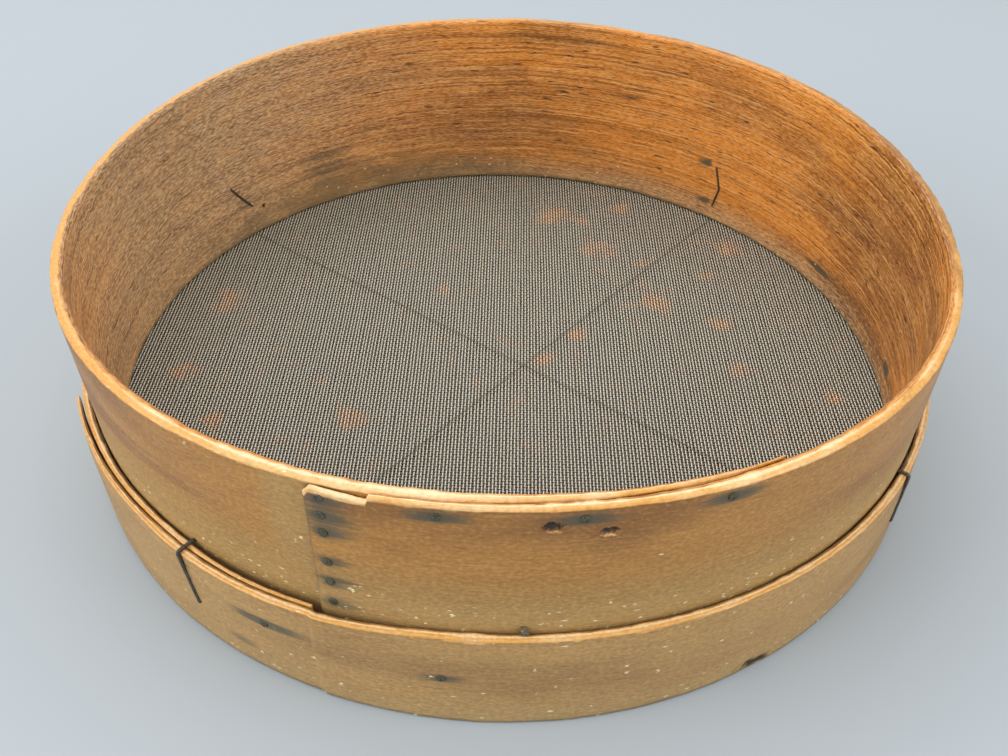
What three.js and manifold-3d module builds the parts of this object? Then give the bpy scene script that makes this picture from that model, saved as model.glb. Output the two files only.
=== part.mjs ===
// Bentwood sieve: a tall bent hoop, a short outer hoop that traps a woven wire cloth over its foot,
// two support wires under the cloth, four wire ties, and the tacks and nails of the lapped boards.
// Millimetres, +Z up. The hoops stand round the Z axis, and the short hoop's lower edge lies on z = 0.
// Angles are in degrees, anticlockwise from +X seen from above.

import * as THREE from 'three';
import { mergeGeometries, mergeVertices } from 'three/addons/utils/BufferGeometryUtils.js';
import Module from 'manifold-3d';

// Body: the tall hoop, one bent board with a lap joint at the front
const BODY_RADIUS = 160;
const BODY_BOARD = 4.3;
const BODY_HEIGHT = 85.2;
const BODY_LAP_START = 250.9;
const BODY_LAP_END = 299;
const BODY_OUTER_TIP = 1.7;
const BODY_INNER_TIP = 1.1;
const BODY_EDGE = 1.2;
const BODY_CORNER_LIP = 0.4;
const BODY_CORNER_DROP = 2.2;
const BODY_CORNER_ARC = 6.3;

// The hoops are bent by hand, so the foot is a little oval and the free rim a little lobed
const FOOT_WAVES = [{ lobes: 2, height: 1.0, at: -20 }];
const RIM_WAVES = [
  { lobes: 3, height: 1.5, at: -33 },
  { lobes: 4, height: 1.3, at: 40 },
];

// Collar: the short outer hoop, lapped the same way on the left
const COLLAR_BOARD = 2.7;
const COLLAR_HEIGHT = 41.6;
const COLLAR_LAP_START = 203;
const COLLAR_LAP_END = 250.1;
const COLLAR_OUTER_TIP = 1.3;
const COLLAR_INNER_TIP = 1.2;
const COLLAR_SPRING = 0.5;
const COLLAR_SPRING_SHARE = 0.5;
const COLLAR_TIP_SPRING = 1.6;
const COLLAR_TIP_SPRING_FROM = 224;
const COLLAR_TIP_SPRING_FULL = 244;
const COLLAR_TIP_SPRING_GONE = 264;
const COLLAR_TAPER_SHARE = 0.6;
const COLLAR_EDGE = 0.6;

// Cloth: woven iron wire, drawn as a coarse net, with its edge turned up between the hoops
const CLOTH_THICKNESS = 0.7;
const CLOTH_RISE = 6.5;
const HEM_HEIGHT = 27;
const NET_GAPS_ACROSS = 15;
const NET_BAR = 1.6;
const NET_BORDER = 2.4;
const NET_LEAST_GAP = 5;

// Support wires under the cloth, and the ties that hold the collar to the body
const WIRE_DIAMETER = 1.3;
const WIRE_SIDES = 6;
const WIRE_SEAT = 1.1;
const TIE_BEND = 1.1;
const TIE_POINT_RISE = 19;
const TIE_POINT_DEPTH = 1;
const TIES = {
  back_right: { top: 48.8, low: 48.4, point: 48.8, crownTop: 36.5, crownLow: 15.5 },
  back_left: { top: 147.5, low: 143.3, point: 147.5, crownTop: 38.3, crownLow: 23.4 },
  front_left: { top: 233.6, low: 233.6, point: 234.7, crownTop: 37.5, crownLow: 23.4 },
  front_right: { top: 324.9, low: 324.9, point: 324.9, crownTop: 37.5, crownLow: 23.4 },
};

// Tacks through the body's lap, nails through the collar, and the nail that stops the collar riding up
const HEAD_RADIUS = 1.7;
const HEAD_CROWN_RADIUS = 1.0;
const HEAD_THICKNESS = 0.6;
const SHANK_RADIUS = 0.6;
const POINT_RADIUS = 0.25;
const CLINCH_LENGTH = 4;
const CLINCH_BEND = 0.9;
const TACK_SIDES = 8;
const LAP_TACK_INSET = 4.4;
const LAP_TACK_SHARES = [0.07, 0.25, 0.42, 0.66, 0.8, 0.93];
const RIM_TACK_ANGLES = [263.7, 277.7, 292.2];
const RIM_TACK_DROP = 4;
const COLLAR_NAILS = [
  { angle: 244.5, rise: 28.5 },
  { angle: 264, rise: 22.5 },
];
const STOP_NAIL_ANGLE = 272.4;
const STOP_NAIL_REACH = 2.2;

// Fits
const CLEARANCE = 0.3;
const RAMP_ARC = 0.6;
const STEP_MARGIN = 0.3;
const THIN_EDGE_SHARE = 0.35;
const BEND_SHARE = 0.48;

// Fineness of the mesh
const BODY_STEPS = 150;
const COLLAR_STEPS = 120;
const RING_STEPS = 96;
const EDGE_STEPS = 2;
const HOLE_SIDES = 6;
const BEND_STEPS = 3;
const MERGE_DISTANCE = 1e-4;

// Heights and radii that follow from the sizes above
const WIRE_RADIUS = WIRE_DIAMETER / 2;
const CLOTH_TOP = CLOTH_RISE + CLOTH_THICKNESS;
const BODY_FOOT = CLOTH_TOP + CLEARANCE;
const RIM_HEIGHT = BODY_FOOT + BODY_HEIGHT;
const LAP_STEP = CLEARANCE + BODY_OUTER_TIP;
const HEM_GAP = CLEARANCE + CLOTH_THICKNESS + CLEARANCE;

const wasm = await Module();
wasm.setup();

const radians = THREE.MathUtils.degToRad;
const { lerp, clamp, smoothstep } = THREE.MathUtils;

// A point given by angle, radius and height
function polar(angle, radius, z) {
  const turn = radians(angle);
  return new THREE.Vector3(radius * Math.cos(turn), radius * Math.sin(turn), z);
}

function waves(list, angle) {
  return list.reduce((sum, w) => sum + w.height * Math.cos(w.lobes * radians(angle - w.at)), 0);
}

// Outer face of the body where it is one board thick: oval at the foot, more and more lobed towards the rim
function bodyFace(angle, z) {
  return BODY_RADIUS + lerp(waves(FOOT_WAVES, angle), waves(RIM_WAVES, angle), z / RIM_HEIGHT);
}

// The body's two faces, measured from bodyFace, along the unrolled angle of its board.
// The outer end lies over the inner end, and each thins towards its tip.
function bodyFaces(turn) {
  const arc = BODY_LAP_END - BODY_LAP_START;
  if (turn < BODY_LAP_END) {
    const share = (turn - BODY_LAP_START) / arc;
    return { inner: lerp(CLEARANCE, -BODY_BOARD, share), outer: lerp(LAP_STEP, 0, share) };
  }
  const share = Math.max(0, (turn - 360 - BODY_LAP_START) / arc);
  return {
    inner: -BODY_BOARD - share * (CLEARANCE + BODY_INNER_TIP),
    outer: -share * (BODY_BOARD + CLEARANCE),
  };
}

// How far the body's lap stands proud of bodyFace, for what is laid round it
function lapRise(angle) {
  const ramp = clamp((angle - COLLAR_LAP_END) / RAMP_ARC, 0, 1);
  const share = clamp((angle - BODY_LAP_START) / (BODY_LAP_END - BODY_LAP_START), 0, 1);
  return ramp * LAP_STEP * (1 - share);
}

// Inner and outer reach of the body at an angle, over all its layers
function bodyReach(angle, z) {
  const face = bodyFace(angle, z);
  const lapped = angle >= BODY_LAP_START && angle <= BODY_LAP_END;
  const under = bodyFaces(angle + 360).inner;
  return {
    inner: face + (lapped ? under : -BODY_BOARD),
    outer: face + (lapped ? bodyFaces(angle).outer : 0),
  };
}

// How far the collar's top edge has sprung off the body round the tip of its inner end
function tipSpring(angle) {
  const rise = smoothstep(angle, COLLAR_TIP_SPRING_FROM, COLLAR_TIP_SPRING_FULL);
  const fall = smoothstep(angle, COLLAR_LAP_END, COLLAR_TIP_SPRING_GONE);
  return COLLAR_TIP_SPRING * rise * (1 - fall);
}

// Inner face of the collar where it is one board thick
function collarSeat(angle, z) {
  return bodyFace(angle, z) + lapRise(angle) + HEM_GAP + tipSpring(angle) * (z / COLLAR_HEIGHT);
}

// The collar's two faces, measured from collarSeat, along the unrolled angle of its board
function collarFaces(turn) {
  const arc = COLLAR_LAP_END - COLLAR_LAP_START;
  if (turn < COLLAR_LAP_END + RAMP_ARC) {
    const share = clamp((turn - COLLAR_LAP_START) / arc, 0, 1);
    const ramp = clamp((turn - COLLAR_LAP_END) / RAMP_ARC, 0, 1);
    const spring = COLLAR_SPRING * Math.max(0, 1 - share / COLLAR_SPRING_SHARE);
    const inner = (lerp(COLLAR_BOARD, COLLAR_INNER_TIP, share) + CLEARANCE + spring) * (1 - ramp);
    const taper = Math.min(1, share / COLLAR_TAPER_SHARE);
    return { inner, outer: inner + lerp(COLLAR_OUTER_TIP, COLLAR_BOARD, taper) };
  }
  const share = Math.max(0, (turn - 360 - COLLAR_LAP_START) / arc);
  return { inner: 0, outer: lerp(COLLAR_BOARD, COLLAR_INNER_TIP, share) };
}

// Outermost face of the collar at an angle and height
function collarReach(angle, z) {
  const turn = angle < COLLAR_LAP_START ? angle + 360 : angle;
  return collarSeat(angle, z) + collarFaces(turn).outer;
}

// A closed mesh from rings of points: each ring is joined to the next, and the ends are laddered shut
function loft(rings, closed) {
  const count = rings[0].length;
  const positions = rings.flat().flatMap((point) => point.toArray());
  const index = [];
  const last = closed ? rings.length : rings.length - 1;
  for (let r = 0; r < last; r += 1) {
    const here = r * count;
    const next = ((r + 1) % rings.length) * count;
    for (let i = 0; i < count; i += 1) {
      const j = (i + 1) % count;
      index.push(here + i, next + i, next + j, here + i, next + j, here + j);
    }
  }
  if (!closed) {
    const end = (rings.length - 1) * count;
    for (let i = 0; i < count / 2 - 1; i += 1) {
      const far = count - 1 - i;
      index.push(i, i + 1, far - 1, i, far - 1, far);
      index.push(end + i, end + far - 1, end + i + 1, end + i, end + far, end + far - 1);
    }
  }
  const geometry = new THREE.BufferGeometry();
  geometry.setAttribute('position', new THREE.Float32BufferAttribute(positions, 3));
  geometry.setIndex(index);
  return geometry;
}

// One section of a board on edge, with worn corners: the outer face going up, then the inner face down
function boardSection(angle, bottom, top, edge, face, faces) {
  const round = Math.min(edge, THIN_EDGE_SHARE * (faces.outer - faces.inner));
  const turns = Array.from({ length: EDGE_STEPS + 1 }, (_, i) => (Math.PI / 2) * (i / EDGE_STEPS));
  const lower = turns.map((turn) => [round * (1 - Math.sin(turn)), bottom + round * (1 - Math.cos(turn))]);
  const upper = turns.map((turn) => [round * (1 - Math.cos(turn)), top - round * (1 - Math.sin(turn))]);
  const profile = [...lower, ...upper];
  const outer = profile.map(([inset, z]) => [faces.outer - inset, z]);
  const inner = profile.map(([inset, z]) => [faces.inner + inset, z]).reverse();
  return [...outer, ...inner].map(([offset, z]) => polar(angle, face(angle, z) + offset, z));
}

// Solids are joined and cut as meshes with shared vertices
function toSolid(geometry) {
  const bare = geometry.clone();
  bare.deleteAttribute('normal');
  bare.deleteAttribute('uv');
  const merged = mergeVertices(bare, MERGE_DISTANCE);
  const vertProperties = new Float32Array(merged.attributes.position.array);
  const triVerts = new Uint32Array(merged.index.array);
  return new wasm.Manifold(new wasm.Mesh({ numProp: 3, vertProperties, triVerts }));
}

function toGeometry(solid) {
  const { vertProperties, triVerts } = solid.getMesh();
  const geometry = new THREE.BufferGeometry();
  geometry.setAttribute('position', new THREE.BufferAttribute(vertProperties, 3));
  geometry.setIndex(new THREE.BufferAttribute(triVerts, 1));
  return geometry;
}

function cut(geometry, tools) {
  return toGeometry(tools.reduce((solid, tool) => solid.subtract(toSolid(tool)), toSolid(geometry)));
}

// A round hole's cutter, lying along the radius at one angle and height
function radialHole(angle, z, from, to, radius) {
  const hole = new THREE.CylinderGeometry(radius, radius, to - from, HOLE_SIDES);
  hole.rotateZ(-Math.PI / 2);
  hole.translate((from + to) / 2, 0, z);
  hole.rotateZ(radians(angle));
  return hole;
}

// A round hole's cutter along the line through two points, and a little past both
function slantHole(from, to, radius) {
  const way = to.clone().sub(from);
  const hole = new THREE.CylinderGeometry(radius, radius, way.length() + HEM_GAP, HOLE_SIDES);
  const upright = new THREE.Vector3(0, 1, 0);
  const turn = new THREE.Quaternion().setFromUnitVectors(upright, way.clone().normalize());
  const middle = from.clone().add(to).multiplyScalar(1 / 2);
  return hole.applyQuaternion(turn).translate(middle.x, middle.y, middle.z);
}

// Corner points of a bent wire, each corner turned into an arc
function bentPath(corners, bend) {
  const path = [corners[0]];
  for (let i = 1; i < corners.length - 1; i += 1) {
    const before = corners[i - 1].clone().sub(corners[i]);
    const after = corners[i + 1].clone().sub(corners[i]);
    const half = before.angleTo(after) / 2;
    const room = BEND_SHARE * Math.min(before.length(), after.length());
    const setback = Math.min(bend / Math.tan(half), room);
    const start = corners[i].clone().addScaledVector(before.normalize(), setback);
    const end = corners[i].clone().addScaledVector(after.normalize(), setback);
    const arc = new THREE.QuadraticBezierCurve3(start, corners[i], end);
    path.push(...arc.getPoints(BEND_STEPS));
  }
  path.push(corners[corners.length - 1]);
  return path;
}

// A wire that sets out level along a path, with a radius for each point
function wireAlong(path, radii, sides) {
  const tangents = path.map((point, i) => {
    const apart = (other) => other.distanceTo(point) > MERGE_DISTANCE;
    const ahead = path.slice(i + 1).find(apart);
    const behind = path.slice(0, i).reverse().find(apart);
    const way = new THREE.Vector3();
    if (ahead) way.add(ahead.clone().sub(point).normalize());
    if (behind) way.add(point.clone().sub(behind).normalize());
    return way.normalize();
  });
  const side = new THREE.Vector3(0, 0, 1);
  const rings = path.map((point, i) => {
    if (i > 0) {
      const turn = new THREE.Quaternion().setFromUnitVectors(tangents[i - 1], tangents[i]);
      side.applyQuaternion(turn);
    }
    const other = new THREE.Vector3().crossVectors(tangents[i], side);
    return Array.from({ length: sides }, (_, k) => {
      const angle = (2 * Math.PI * k) / sides;
      return point
        .clone()
        .addScaledVector(side, radii[i] * Math.cos(angle))
        .addScaledVector(other, radii[i] * Math.sin(angle));
    });
  });
  return loft(rings.map((ring) => ring.reverse()), false);
}

// A tack or nail driven in along the radius, its point clinched along the inner face
function tackAlong(angle, z, from, to) {
  const underHead = from + CLEARANCE;
  const clinchRadius = to - CLEARANCE - SHANK_RADIUS;
  const clinchTurn = THREE.MathUtils.radToDeg(CLINCH_LENGTH / clinchRadius);
  const shank = bentPath(
    [polar(angle, underHead, z), polar(angle, clinchRadius, z), polar(angle + clinchTurn, clinchRadius, z)],
    CLINCH_BEND,
  );
  const head = [HEAD_THICKNESS, HEAD_THICKNESS / 2, 0].map((rise) => polar(angle, underHead + rise, z));
  const shankRadii = shank.map((_, i) => (i === shank.length - 1 ? POINT_RADIUS : SHANK_RADIUS));
  const radii = [HEAD_CROWN_RADIUS, HEAD_RADIUS, HEAD_RADIUS, ...shankRadii];
  return wireAlong([...head, ...shank], radii, TACK_SIDES);
}

function tackHole(angle, z, from, to) {
  return radialHole(angle, z, to - HEM_GAP, from + HEM_GAP, SHANK_RADIUS + CLEARANCE);
}

// Fasteners: where each one sits, and the faces that it runs between
const lapTackAngle = BODY_LAP_START + THREE.MathUtils.radToDeg(LAP_TACK_INSET / BODY_RADIUS);
const lapTacks = LAP_TACK_SHARES.map((share) => ({
  angle: lapTackAngle,
  z: lerp(COLLAR_HEIGHT, RIM_HEIGHT, share),
}));
const rimTacks = RIM_TACK_ANGLES.map((angle) => ({ angle, z: RIM_HEIGHT - RIM_TACK_DROP }));
const collarNails = COLLAR_NAILS.map(({ angle, rise }) => ({ angle, z: rise }));
const stopNail = { angle: STOP_NAIL_ANGLE, z: COLLAR_HEIGHT + CLEARANCE + SHANK_RADIUS };

function bodyTackSpan({ angle, z }) {
  const reach = bodyReach(angle, z);
  return [angle, z, reach.outer, reach.inner];
}

function collarNailSpan({ angle, z }) {
  return [angle, z, collarReach(angle, z), bodyReach(angle, z).inner];
}

// A tie: a crown on the inner wall, a short leg out into the collar, and a long leg that goes out
// over the collar's edge and down its face, where its point is driven in
const tieTop = COLLAR_HEIGHT + CLEARANCE + WIRE_RADIUS;
const ties = Object.values(TIES);

function tieCorners({ top, low, point, crownTop, crownLow }) {
  const insideAt = (angle, z) => bodyReach(angle, z).inner - CLEARANCE - WIRE_RADIUS;
  const outsideAt = (angle, z) => collarReach(angle, z) + CLEARANCE + WIRE_RADIUS;
  const betweenHoops = (bodyReach(top, tieTop).outer + collarSeat(top, tieTop)) / 2;
  return {
    pointIn: polar(point, collarReach(point, TIE_POINT_RISE) - TIE_POINT_DEPTH, TIE_POINT_RISE),
    pointOut: polar(point, outsideAt(point, TIE_POINT_RISE), TIE_POINT_RISE),
    overOut: polar(top, outsideAt(top, tieTop), tieTop),
    overIn: polar(top, betweenHoops, tieTop),
    crownTop: polar(top, insideAt(top, crownTop), crownTop),
    crownLow: polar(low, insideAt(low, crownLow), crownLow),
    legEnd: polar(low, collarSeat(low, crownLow) + WIRE_SEAT - CLEARANCE, crownLow),
  };
}

const wireHole = WIRE_RADIUS + CLEARANCE;
const legHoles = ties.map(({ low, crownLow }) => {
  const inner = bodyReach(low, crownLow).inner - HEM_GAP;
  return radialHole(low, crownLow, inner, collarSeat(low, crownLow) + WIRE_SEAT, wireHole);
});
const overHoles = ties.map((tie) => {
  const { overIn, crownTop } = tieCorners(tie);
  return slantHole(overIn, crownTop, wireHole);
});
const pointSockets = ties.map(({ point }) => {
  const outer = collarReach(point, TIE_POINT_RISE);
  return radialHole(point, TIE_POINT_RISE, outer - TIE_POINT_DEPTH - CLEARANCE, outer + HEM_GAP, wireHole);
});
const bodyTackHoles = [...lapTacks, ...rimTacks, stopNail].map((tack) => tackHole(...bodyTackSpan(tack)));
const collarNailHoles = collarNails.map((nail) => tackHole(...collarNailSpan(nail)));

// Support wires run straight from one tie to the one across, and their ends sit in the collar
const supportEnds = [
  [TIES.back_left.low, TIES.front_right.low],
  [TIES.back_right.low, TIES.front_left.low],
];
const supportHeights = supportEnds.map((_, i) => {
  const step = WIRE_DIAMETER + CLEARANCE;
  return CLOTH_RISE - CLEARANCE - WIRE_RADIUS - i * step;
});
const supportSockets = supportEnds.flatMap((ends, i) =>
  ends.map((angle) => {
    const seat = collarSeat(angle, supportHeights[i]);
    return radialHole(angle, supportHeights[i], seat - HEM_GAP, seat + WIRE_SEAT, wireHole);
  }),
);

function bodyHoop() {
  const stops = [BODY_LAP_START, BODY_LAP_START + BODY_CORNER_ARC];
  const rest = BODY_STEPS - 1;
  const turns = Array.from({ length: rest + 1 }, (_, i) => lerp(stops[1], BODY_LAP_END + 360, i / rest));
  const rings = [stops[0], stops[1] - STEP_MARGIN, ...turns].map((turn) => {
    const share = (turn - stops[0]) / BODY_CORNER_ARC;
    const drop = turn < stops[1] ? lerp(BODY_CORNER_LIP, BODY_CORNER_DROP, share) : 0;
    const top = RIM_HEIGHT - drop;
    return boardSection(turn, BODY_FOOT, top, BODY_EDGE, bodyFace, bodyFaces(turn));
  });
  return cut(loft(rings, false), [...legHoles, ...overHoles, ...bodyTackHoles, ...collarNailHoles]);
}

function collarHoop() {
  const knots = [COLLAR_LAP_START, COLLAR_LAP_END, COLLAR_LAP_END + RAMP_ARC, COLLAR_LAP_END + 360];
  const step = (COLLAR_LAP_END + 360 - COLLAR_LAP_START) / COLLAR_STEPS;
  const turns = [knots[0]];
  for (let k = 1; k < knots.length; k += 1) {
    const count = Math.max(1, Math.round((knots[k] - knots[k - 1]) / step));
    for (let i = 1; i <= count; i += 1) turns.push(lerp(knots[k - 1], knots[k], i / count));
  }
  const seatAt = (turn, z) => collarSeat(turn > 360 ? turn - 360 : turn, z);
  const rings = turns.map((turn) =>
    boardSection(turn, 0, COLLAR_HEIGHT, COLLAR_EDGE, seatAt, collarFaces(turn)),
  );
  return cut(loft(rings, false), [...legHoles, ...pointSockets, ...collarNailHoles, ...supportSockets]);
}

// Angles round a full ring, with the lap's ramp marked
function ringAngles() {
  const ramp = [COLLAR_LAP_END, COLLAR_LAP_END + RAMP_ARC];
  const even = Array.from({ length: RING_STEPS }, (_, i) => (360 * i) / RING_STEPS);
  const clear = even.filter((a) => ramp.every((r) => Math.abs(a - r) > STEP_MARGIN));
  return [...clear, ...ramp].sort((a, b) => a - b);
}

function clothHem() {
  const rings = ringAngles().map((angle) => {
    const top = CLOTH_RISE + HEM_HEIGHT;
    const innerAt = (z) => bodyFace(angle, z) + lapRise(angle) + CLEARANCE;
    const outerAt = (z) => innerAt(z) + CLOTH_THICKNESS;
    return [
      polar(angle, outerAt(CLOTH_RISE), CLOTH_RISE),
      polar(angle, outerAt(top), top),
      polar(angle, innerAt(top), top),
      polar(angle, innerAt(CLOTH_RISE), CLOTH_RISE),
    ];
  });
  return cut(loft(rings, true), [...legHoles, ...collarNailHoles]);
}

// A flat plate between two heights, with the outline given by its radius at each angle
function plate(radiusAt, bottom, top) {
  const outline = ringAngles().map((angle) => {
    const point = polar(angle, radiusAt(angle), 0);
    return new THREE.Vector2(point.x, point.y);
  });
  const depth = top - bottom;
  const solid = new THREE.ExtrudeGeometry(new THREE.Shape(outline), { depth, bevelEnabled: false });
  solid.translate(0, 0, bottom);
  return solid;
}

function wireCloth() {
  const bowlRadius = BODY_RADIUS - BODY_BOARD - NET_BORDER;
  const pitch = (2 * bowlRadius) / NET_GAPS_ACROSS;
  const middle = (NET_GAPS_ACROSS - 1) / 2;
  const tall = 3 * CLOTH_THICKNESS;
  const gaps = [];
  for (let i = 0; i < NET_GAPS_ACROSS; i += 1) {
    for (let j = 0; j < NET_GAPS_ACROSS; j += 1) {
      const x = (i - middle) * pitch;
      const y = (j - middle) * pitch;
      const side = pitch - NET_BAR;
      const nearest = Math.hypot(Math.max(0, Math.abs(x) - side / 2), Math.max(0, Math.abs(y) - side / 2));
      if (nearest > bowlRadius - NET_LEAST_GAP) continue;
      const gap = new THREE.BoxGeometry(side, side, tall);
      gaps.push(gap.translate(x, y, CLOTH_RISE + CLOTH_THICKNESS / 2));
    }
  }
  const bowl = plate(() => bowlRadius, CLOTH_RISE - tall, CLOTH_TOP + tall);
  const openings = toSolid(mergeGeometries(gaps)).intersect(toSolid(bowl));
  const sheet = plate((angle) => bodyFace(angle, CLOTH_RISE) + lapRise(angle), CLOTH_RISE, CLOTH_TOP);
  return toGeometry(toSolid(sheet).subtract(openings));
}

function supportWire(index) {
  const z = supportHeights[index];
  const reach = WIRE_SEAT - CLEARANCE;
  const path = supportEnds[index].map((angle) => polar(angle, collarSeat(angle, z) + reach, z));
  return wireAlong(path, [WIRE_RADIUS, WIRE_RADIUS], WIRE_SIDES);
}

function tieWire(tie) {
  const path = bentPath(Object.values(tieCorners(tie)), TIE_BEND);
  return wireAlong(path, path.map(() => WIRE_RADIUS), WIRE_SIDES);
}

// The stop nail has lost its head: a straight shank that stands out over the collar's edge
function stopNailShank() {
  const { angle, z } = stopNail;
  const { inner, outer } = bodyReach(angle, z);
  const ends = [outer + STOP_NAIL_REACH, inner - CLEARANCE];
  const path = ends.map((radius) => polar(angle, radius, z));
  return wireAlong(path, [SHANK_RADIUS, SHANK_RADIUS], TACK_SIDES);
}

const finishes = {
  body: { color: 0xa8713a, roughness: 0.6, metalness: 0 },
  collar: { color: 0x9a7446, roughness: 0.65, metalness: 0 },
  cloth: { color: 0x6f6a62, roughness: 0.5, metalness: 0.8 },
  wire: { color: 0x4a443e, roughness: 0.6, metalness: 0.7 },
  tack: { color: 0x3a322c, roughness: 0.7, metalness: 0.6 },
};

const sieve = new THREE.Group();

function add(name, geometry, finish) {
  const mesh = new THREE.Mesh(geometry, new THREE.MeshStandardMaterial(finishes[finish]));
  mesh.name = name;
  sieve.add(mesh);
}

add('upper_hoop', bodyHoop(), 'body');
add('lower_hoop', collarHoop(), 'collar');
add('wire_cloth', wireCloth(), 'cloth');
add('cloth_hem', clothHem(), 'cloth');
supportEnds.forEach((_, i) => add(`support_wire_${i + 1}`, supportWire(i), 'wire'));
Object.entries(TIES).forEach(([name, tie]) => add(`tie_wire_${name}`, tieWire(tie), 'wire'));
lapTacks.forEach((tack, i) => add(`lap_tack_${i + 1}`, tackAlong(...bodyTackSpan(tack)), 'tack'));
rimTacks.forEach((tack, i) => add(`rim_tack_${i + 1}`, tackAlong(...bodyTackSpan(tack)), 'tack'));
collarNails.forEach((nail, i) => add(`collar_nail_${i + 1}`, tackAlong(...collarNailSpan(nail)), 'tack'));
add('stop_nail', stopNailShank(), 'tack');

export default sieve;
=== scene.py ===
"""Old bentwood sieve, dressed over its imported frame: metres, +Z up, hoops round the Z axis."""

import logging
import math
from collections.abc import Mapping, Sequence
from dataclasses import dataclass, field, replace
from enum import Enum
from typing import ClassVar

import bpy
import numpy as np
from mathutils import Matrix, Vector

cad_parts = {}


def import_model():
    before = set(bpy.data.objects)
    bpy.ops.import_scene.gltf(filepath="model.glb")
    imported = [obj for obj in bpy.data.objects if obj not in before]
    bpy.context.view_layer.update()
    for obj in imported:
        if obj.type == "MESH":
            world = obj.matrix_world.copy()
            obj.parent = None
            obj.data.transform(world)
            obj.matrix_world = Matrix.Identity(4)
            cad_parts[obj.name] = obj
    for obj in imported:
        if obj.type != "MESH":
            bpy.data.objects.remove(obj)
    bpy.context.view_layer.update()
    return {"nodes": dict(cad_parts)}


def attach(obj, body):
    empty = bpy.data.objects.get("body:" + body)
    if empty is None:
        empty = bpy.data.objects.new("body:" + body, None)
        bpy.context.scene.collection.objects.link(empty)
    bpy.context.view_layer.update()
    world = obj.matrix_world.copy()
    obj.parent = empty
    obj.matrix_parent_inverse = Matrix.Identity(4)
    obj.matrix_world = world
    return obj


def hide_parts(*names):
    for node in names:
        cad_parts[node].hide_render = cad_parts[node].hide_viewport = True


LOG = logging.getLogger("sieve")
MM = 0.001
# Along the hoops one degree is about this many millimetres, near enough for waves and wear.
RUN_MM = 2.8
FULL_TURN = 360
BODY = "root"
BOARD_UV = "Board"
MIX, MATH, RANGE = "ShaderNodeMix", "ShaderNodeMath", "ShaderNodeMapRange"
NOISE, VECTOR, CELLS = "ShaderNodeTexNoise", "ShaderNodeVectorMath", "ShaderNodeTexVoronoi"
SMOOTHED = {"interpolation_type": "SMOOTHSTEP"}
# A mix of colours takes them at sockets 6 and 7 and gives its result at this output.
COLOURS = {"data_type": "RGBA"}
COLOUR_OUT = 2

Pair = tuple[float, float]


class Side(Enum):
    """A face of a bent board, with the value that the finish reads."""

    OUTER = 0.0
    INNER = 1.0


class Mark(Enum):
    """What a board's mesh tells its finish at each point, from 0 to 1."""

    INSIDE = "inside"
    DULL = "dull"
    WEAR = "wear"
    PALE = "pale"
    STAIN = "stain"
    SOIL = "soil"
    DUST = "dust"
    HOLE = "hole"
    DARK = "dark"


class Grain(Enum):
    """Patterns in a board: length along the grain and width in millimetres, and how much finer detail.

    Ash pores are finer than the picture shows, so fibres and flecks are drawn about twice as wide.
    """

    CLOUD = (110, 34, 3.0)
    MOTTLE = (18, 7, 4.0)
    STREAK = (240, 2.4, 2.0)
    PORE = (9, 1.6, 2.0)
    FIBRE = (300, 0.6, 2.0)
    FLECK = (11, 1.5, 2.0)
    SPRIG = (2.6, 0.5, 1.0)
    GRIME = (1.5, 1.2, 3.0)


def linear(code: str) -> tuple[float, float, float, float]:
    """Turns an sRGB hex colour into a linear one.

    Args:
        code: Six hex digits.

    Returns:
        Linear red, green, blue and an alpha of 1.
    """
    shades = [int(code[i : i + 2], 16) / 255 for i in (0, 2, 4)]
    red, green, blue = [s / 12.92 if s <= 0.04045 else ((s + 0.055) / 1.055) ** 2.4 for s in shades]
    return (red, green, blue, 1.0)


def add_node(
    tree: bpy.types.NodeTree,
    kind: str,
    inputs: Mapping[str | int, object],
    output: str | int = 0,
    **settings: object,
) -> bpy.types.NodeSocket | None:
    """Adds a node, with its settings, input values and links.

    Args:
        tree: The node tree.
        kind: Blender's name for the node.
        inputs: For each input socket, a value, or an output socket to link from.
        output: The output that is wanted.
        settings: Properties of the node.

    Returns:
        The node's wanted output, or nothing where it has none.
    """
    node = tree.nodes.new(kind)
    for name, value in settings.items():
        setattr(node, name, value)
    for socket, value in inputs.items():
        if isinstance(value, bpy.types.NodeSocket):
            tree.links.new(value, node.inputs[socket])
        else:
            node.inputs[socket].default_value = value
    return node.outputs[output] if node.outputs else None


def blank_material(name: str) -> bpy.types.Material:
    """Makes a material with an empty node tree.

    Args:
        name: The material's name.

    Returns:
        The material.
    """
    material = bpy.data.materials.new(name)
    material.use_nodes = True
    material.node_tree.nodes.clear()
    return material


def share(value: np.ndarray, low: float, high: float) -> np.ndarray:
    """Straight step from 0 at low to 1 at high."""
    return np.clip((value - low) / (high - low), 0, 1)


def smooth(value: np.ndarray, low: float, high: float) -> np.ndarray:
    """Smooth step from 0 at low to 1 at high."""
    part = share(value, low, high)
    return part * part * (3 - 2 * part)


def bell(value: np.ndarray, middle: float, width: float) -> np.ndarray:
    """Soft hump that is 1 in the middle and is nearly gone at twice the width."""
    return np.exp(-(((value - middle) / width) ** 2))


def turned(angle: np.ndarray, start: float) -> np.ndarray:
    """Degrees from start to each angle, the shorter way round."""
    return (angle - start + FULL_TURN / 2) % FULL_TURN - FULL_TURN / 2


def ripple(place: np.ndarray, length: float, seed: int) -> np.ndarray:
    """A gentle uneven wave along a line, between about -1 and 1.

    Args:
        place: Places along the line, in the same unit as length.
        length: The longest wave's length.
        seed: Chooses the wave.

    Returns:
        The wave's height at each place.
    """
    octaves, fade = 4, 1.6
    random = np.random.default_rng(seed)
    total = np.zeros_like(place, dtype=float)
    for octave in range(octaves):
        phase, stretch = random.uniform(0, 2 * math.pi), random.uniform(0.8, 1.25)
        total += np.sin(2 * math.pi * place * stretch * 2**octave / length + phase) / fade**octave
    return total / 2


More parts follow.
